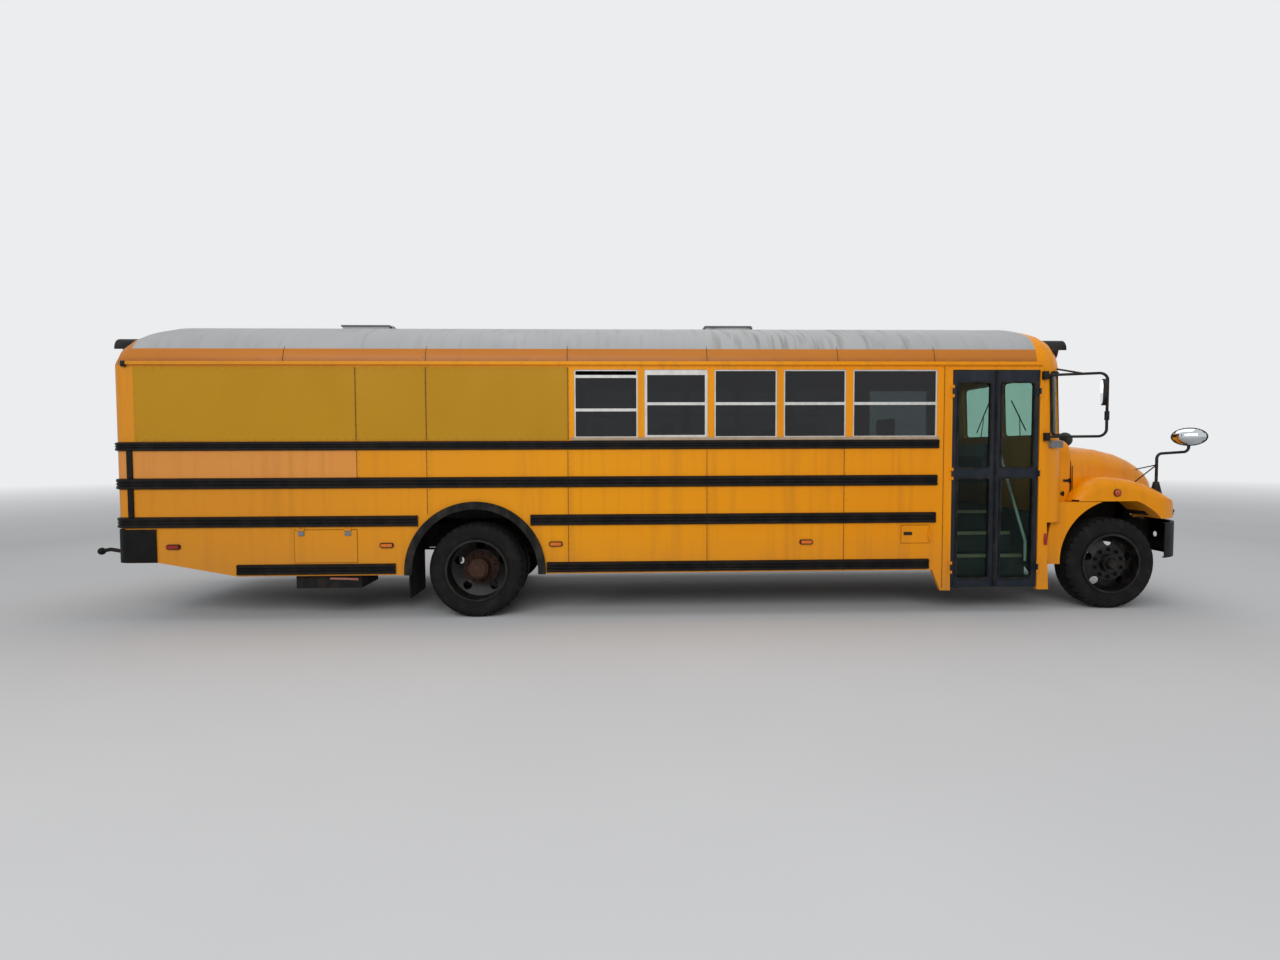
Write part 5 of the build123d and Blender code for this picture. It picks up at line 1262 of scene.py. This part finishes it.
screen, corners = bmesh.new(), bmesh.new()
for side in (curb, driver):
    ring = facing(on_front(side * (0.038 + 0.860) / 2, screen_middle), y_axis, front_up)
    add_plate(screen, ring, 0.822 + 0.044, screen_height + 0.044, 0.075, 0.007, 0.030)

    start = bmesh.new()
    ring = facing(Vector((0, 0, screen_middle)), x_axis)
    add_plate(start, ring, 2 * pane_half + 0.034, screen_height + 0.034, 0.055, 0.007, 0.026)
    for step in range(-5, 6):
        bmesh.ops.bisect_plane(
            start, geom=start.verts[:] + start.edges[:] + start.faces[:],
            plane_co=(step * pane_half / 5, 0, 0), plane_no=(1, 0, 0)
        )
    for vert in start.verts:
        angle = vert.co.x / corner_radius + math.pi / 4
        reach = corner_radius - vert.co.y
        forward = reach * math.sin(angle) + leaning_back(vert.co.z)
        vert.co.x = along(corner_station + forward)
        vert.co.y = side * (corner_y + reach * math.cos(angle))
    merge_into(corners, start)
piece("windscreen_rubber", screen, "black_rubber")
piece("corner_pane_rubber", corners, "black_rubber")

# Wipers: pivot across, then the blade's lower and upper end
shape = bmesh.new()
for pivot_y, blade_low, blade_high in (
    (curb * 0.300, (curb * 0.420, 1.850), (curb * 0.150, 2.200)),
    (driver * 0.560, (driver * 0.640, 1.850), (driver * 0.330, 2.210)),
):
    pivot = on_front(pivot_y, 1.765, 0.012)
    low, high = on_front(*blade_low, 0.018), on_front(*blade_high, 0.018)
    add_rod(shape, pivot - x_axis * 0.014, pivot + x_axis * 0.016, 0.012, 16)
    middle = (low + high) / 2 + x_axis * 0.012
    add_rod(shape, pivot + x_axis * 0.010, middle, 0.006, 10, 0.004)
    add_rod(shape, low, high, 0.007, 8)
piece("wipers", shape, "black_plastic", crease=50.0)
print("windscreen dressed")

# %% [markdown]
# The mirrors get their reflecting faces: flat ones on the big heads, and a bright half on each
# egg, which leaves a black rim.

# %% Mirror faces
head_turn, egg_turn = math.radians(-27), math.radians(-40)
egg = Vector((0.155, 0.085, 0.095))
egg_gap, egg_edge = 0.0015, 0.042
heads, eggs = bmesh.new(), bmesh.new()
for side in (curb, driver):
    back = Vector((-math.cos(head_turn), side * math.sin(head_turn), 0))
    place = spot(6.115 - 0.025, side * (1.475 - 0.012), 2.190) + back * 0.0172
    add_plate(heads, facing(place, z_axis.cross(back)), 0.146, 0.231, 0.062, 0.0025)

    start = bmesh.new()
    size = Matrix.Diagonal((egg.x + egg_gap, egg.y + egg_gap, egg.z + egg_gap, 1))
    turn = Matrix.Rotation(-side * egg_turn, 4, "Z")
    centre = spot(7.330, side * 1.010, 1.765)
    matrix = Matrix.Translation(centre) @ turn @ size
    bmesh.ops.create_uvsphere(start, u_segments=40, v_segments=24, radius=1.0, matrix=matrix)
    sight = turn.to_3x3() @ (y_axis * side)
    hidden = [
        face for face in start.faces if (face.calc_center_median() - centre).dot(sight) < egg_edge
    ]
    bmesh.ops.delete(start, geom=hidden, context="FACES")
    bmesh.ops.solidify(start, geom=start.faces[:], thickness=0.001)
    merge_into(eggs, start)
piece("mirror_faces", heads, "mirror_face")
piece("egg_mirror_faces", eggs, "mirror_face", "tilt_hood", 60.0)
print("mirror faces")

# %% [markdown]
# Small fittings of the shell: joints between the mustard sheets, the luggage hatch's grey hinge
# leaves, the filler door's latch, latches and the rubber strip between cowl and hood, the vent
# below the corner window, and the ring that seals each rear pane.

# %% Shell fittings
sheet_low, sheet_high = 1.748, 2.458
sheet_ends = (-3.217, -1.127, -0.455, 0.915)
sheet_face = half_width + 0.004
joints, studs = bmesh.new(), bmesh.new()
for side in (curb, driver):
    y, out = side * sheet_face, y_axis * side
    for station in sheet_ends[1:]:
        width = (station - 0.003, station + 0.003)
        side_box(joints, side, sheet_face, 0.0012, width, (sheet_low + 0.004, sheet_high - 0.004))
    for low, high in zip(sheet_ends, sheet_ends[1:]):
        for height in (sheet_low + 0.014, sheet_high - 0.014):
            rivet_row(studs, (low + 0.02, y, height), (high - 0.02, y, height), 0.085, out, 0.0045)
        for station in (low + 0.014, high - 0.014):
            foot, head = (station, y, sheet_low + 0.05), (station, y, sheet_high - 0.05)
            rivet_row(studs, foot, head, 0.1, out, 0.0045)
# The joints between the sheets are dark lines of painted shade, for the hairline shadow where they
# meet
piece("sheet_joints", joints, "seam_shade")
piece("sheet_rivets", studs, "mustard_sheet", crease=50.0)

hatch_top, flap_face = 0.888, half_width + 0.003
shape = bmesh.new()
for station in (-1.672, -1.225):
    width, heights = (station - 0.030, station + 0.030), (hatch_top - 0.062, hatch_top - 0.016)
    side_box(shape, curb, flap_face, 0.0032, width, heights, 0.0012, 1)
    for over in (-0.016, 0.016):
        screw = spot(station + over, -flap_face, hatch_top - 0.046)
        add_rod(shape, screw - y_axis * 0.002, screw - y_axis * 0.006, 0.006, 10)
piece("luggage_hatch_fittings", shape, "grey_fitting", "luggage_flap")

shape = bmesh.new()
side_box(shape, curb, flap_face, 0.004, (4.246, 4.330), (0.790, 0.822), 0.0018, 1)
side_box(shape, curb, flap_face + 0.003, 0.005, (4.254, 4.300), (0.796, 0.816), 0.003)
piece("filler_lock", shape, "black_plastic", body="filler_flap")

# The strip between cowl and hood, latches, the vent, the gutter's black end cap and a reflector
cowl_face, vent_height, vent_rows = 0.985, 1.690, 5
vent_turn = math.radians(31)
strips, vents, caps, reflectors = [bmesh.new() for number in range(4)]
for side in (curb, driver):
    side_box(strips, side, cowl_face, 0.003, (6.1105, 6.1185), (1.115, 1.470), 0.001, 1)
    for station, height in ((6.045, 1.316), (5.975, 1.181)):
        for rear, front, half in ((-0.030, 0.045, 0.012), (0.030, 0.050, 0.024)):
            reach, heights = (station + rear, station + front), (height - half, height + half)
            side_box(strips, side, cowl_face, 0.016, reach, heights, 0.005)
    normal = Vector((math.sin(vent_turn), side * math.cos(vent_turn), 0))
    place = spot(corner_station + leaning_back(vent_height), side * corner_y, vent_height)
    vent = facing(place + normal * (corner_radius - 0.020), z_axis.cross(normal))
    add_plate(vents, vent, 0.215, 0.072, 0.012, 0.034)
    for row in range(vent_rows):
        slot = vent @ Matrix.Translation((0, -0.024 + row * 0.012, 0.034))
        add_plate(vents, slot, 0.165, 0.005, 0.002, 0.003)
    side_box(caps, side, half_width, 0.027, (-3.312, -3.270), (2.458, 2.513), 0.004)
    side_box(reflectors, side, half_width, 0.006, (5.676, 5.708), (0.680, 0.794), 0.003)
piece("hood_strip_and_latches", strips, "black_rubber")
piece("corner_vents", vents, "grey_fitting")
piece("gutter_caps", caps, "black_plastic")
piece("post_reflectors", reflectors, "red_lens")

# At the rear: the seal of the emergency door's pane and the ribs below it, and two fixed panes
seal, rubber, ribs = [bmesh.new() for number in range(3)]
place = facing(spot(rear_end - 0.004, 0, 1.990), -y_axis)
add_plate(seal, place, 0.760 + 0.03, 0.580 + 0.03, 0.06, 0.006, 0.024)
for side in (curb, driver):
    place = facing(spot(rear_end, side * 0.840, (1.768 + 2.373) / 2), -y_axis)
    add_plate(rubber, place, 0.440 + 0.03, 0.605 + 0.03, 0.024, 0.006, 0.022)
for height in (1.20, 1.55):
    low = spot(rear_end - 0.010, -0.42, height - 0.012)
    add_box(ribs, low, spot(rear_end - 0.004, 0.30, height + 0.012), 0.003)
piece("rear_exit_rubber", seal, "black_rubber", body="rear_exit")
piece("rear_window_rubber", rubber, "black_rubber")
piece("rear_exit_ribs", ribs, "bus_yellow", body="rear_exit")
print("shell fittings")

# %% [markdown]
# Under the floor: straps around the fuel tank, clamps on the springs, bands on the silencer and
# the hose that runs along the luggage box. In the nose, the radiator behind the grille.

# %% Underbody fittings
shape = bmesh.new()
for station in (2.10, 2.90):
    rear, front = station - 0.025, station + 0.025
    add_box(shape, spot(rear, -1.123, 0.467), spot(front, -1.120, 0.862), 0.001, 1)
    add_box(shape, spot(rear, -1.123, 0.467), spot(front, -0.475, 0.470), 0.001, 1)
    rear, front = station - 0.012, station + 0.012
    add_rod(shape, spot(rear, -1.128, 0.80), spot(front, -1.128, 0.80), 0.008, 10)
for station, spring_y, low, high in ((6.452, 0.432, 0.466, 0.560), (0.0, 0.472, 0.536, 0.605)):
    for side in (curb, driver):
        for shift in (-0.045, 0.045):
            x, y, over = station + shift, side * spring_y, 0.043
            for leg in (y - over, y + over):
                add_rod(shape, spot(x, leg, low), spot(x, leg, high), 0.008, 10)
            bridge = high - 0.006
            add_rod(shape, spot(x, y - over, bridge), spot(x, y + over, bridge), 0.008, 10)
for station in (3.30, 4.20):
    rear, front = spot(station - 0.02, 0.640, 0.660), spot(station + 0.02, 0.640, 0.660)
    add_rod(shape, rear, front, 0.1225, 40)
piece("underbody_straps", shape, "frame_steel", crease=40.0)

shape = bmesh.new()
hose_ends = spot(-1.414, -1.1755, 0.402), spot(-1.156, -1.1755, 0.392)
add_rod(shape, *hose_ends, 0.011, 12)
clip = Vector((0.006, 0.013, 0.013))
for end in hose_ends:
    add_box(shape, end - clip, end + clip, 0.003)
piece("luggage_box_hose", shape, "hose_rubber", crease=40.0)

# The radiator: core, two tanks, two side frames and the core's fins
shape = bmesh.new()
blocks = [
    # how far to the rear and the front, right and left, foot and head, bevel
    (-0.035, 0.035, -0.36, 0.36, 0.76, 1.20, 0.006),
    (-0.050, 0.050, -0.38, 0.38, 0.70, 0.765, 0.014),
    (-0.050, 0.050, -0.38, 0.38, 1.195, 1.26, 0.014),
    (-0.042, 0.042, -0.390, -0.360, 0.72, 1.24, 0.004),
    (-0.042, 0.042, 0.360, 0.390, 0.72, 1.24, 0.004),
]
for row in range(22):
    foot = 0.775 + row * 0.0195
    blocks.append((0.034, 0.039, -0.355, 0.355, foot, foot + 0.006, 0.0))
for rear, front, right_y, left_y, foot, head, bevel in blocks:
    low, high = spot(7.150 + rear, right_y, foot), spot(7.150 + front, left_y, head)
    add_box(shape, low, high, bevel)
piece("radiator", shape, "black_plastic", crease=40.0)
print("underbody fittings")
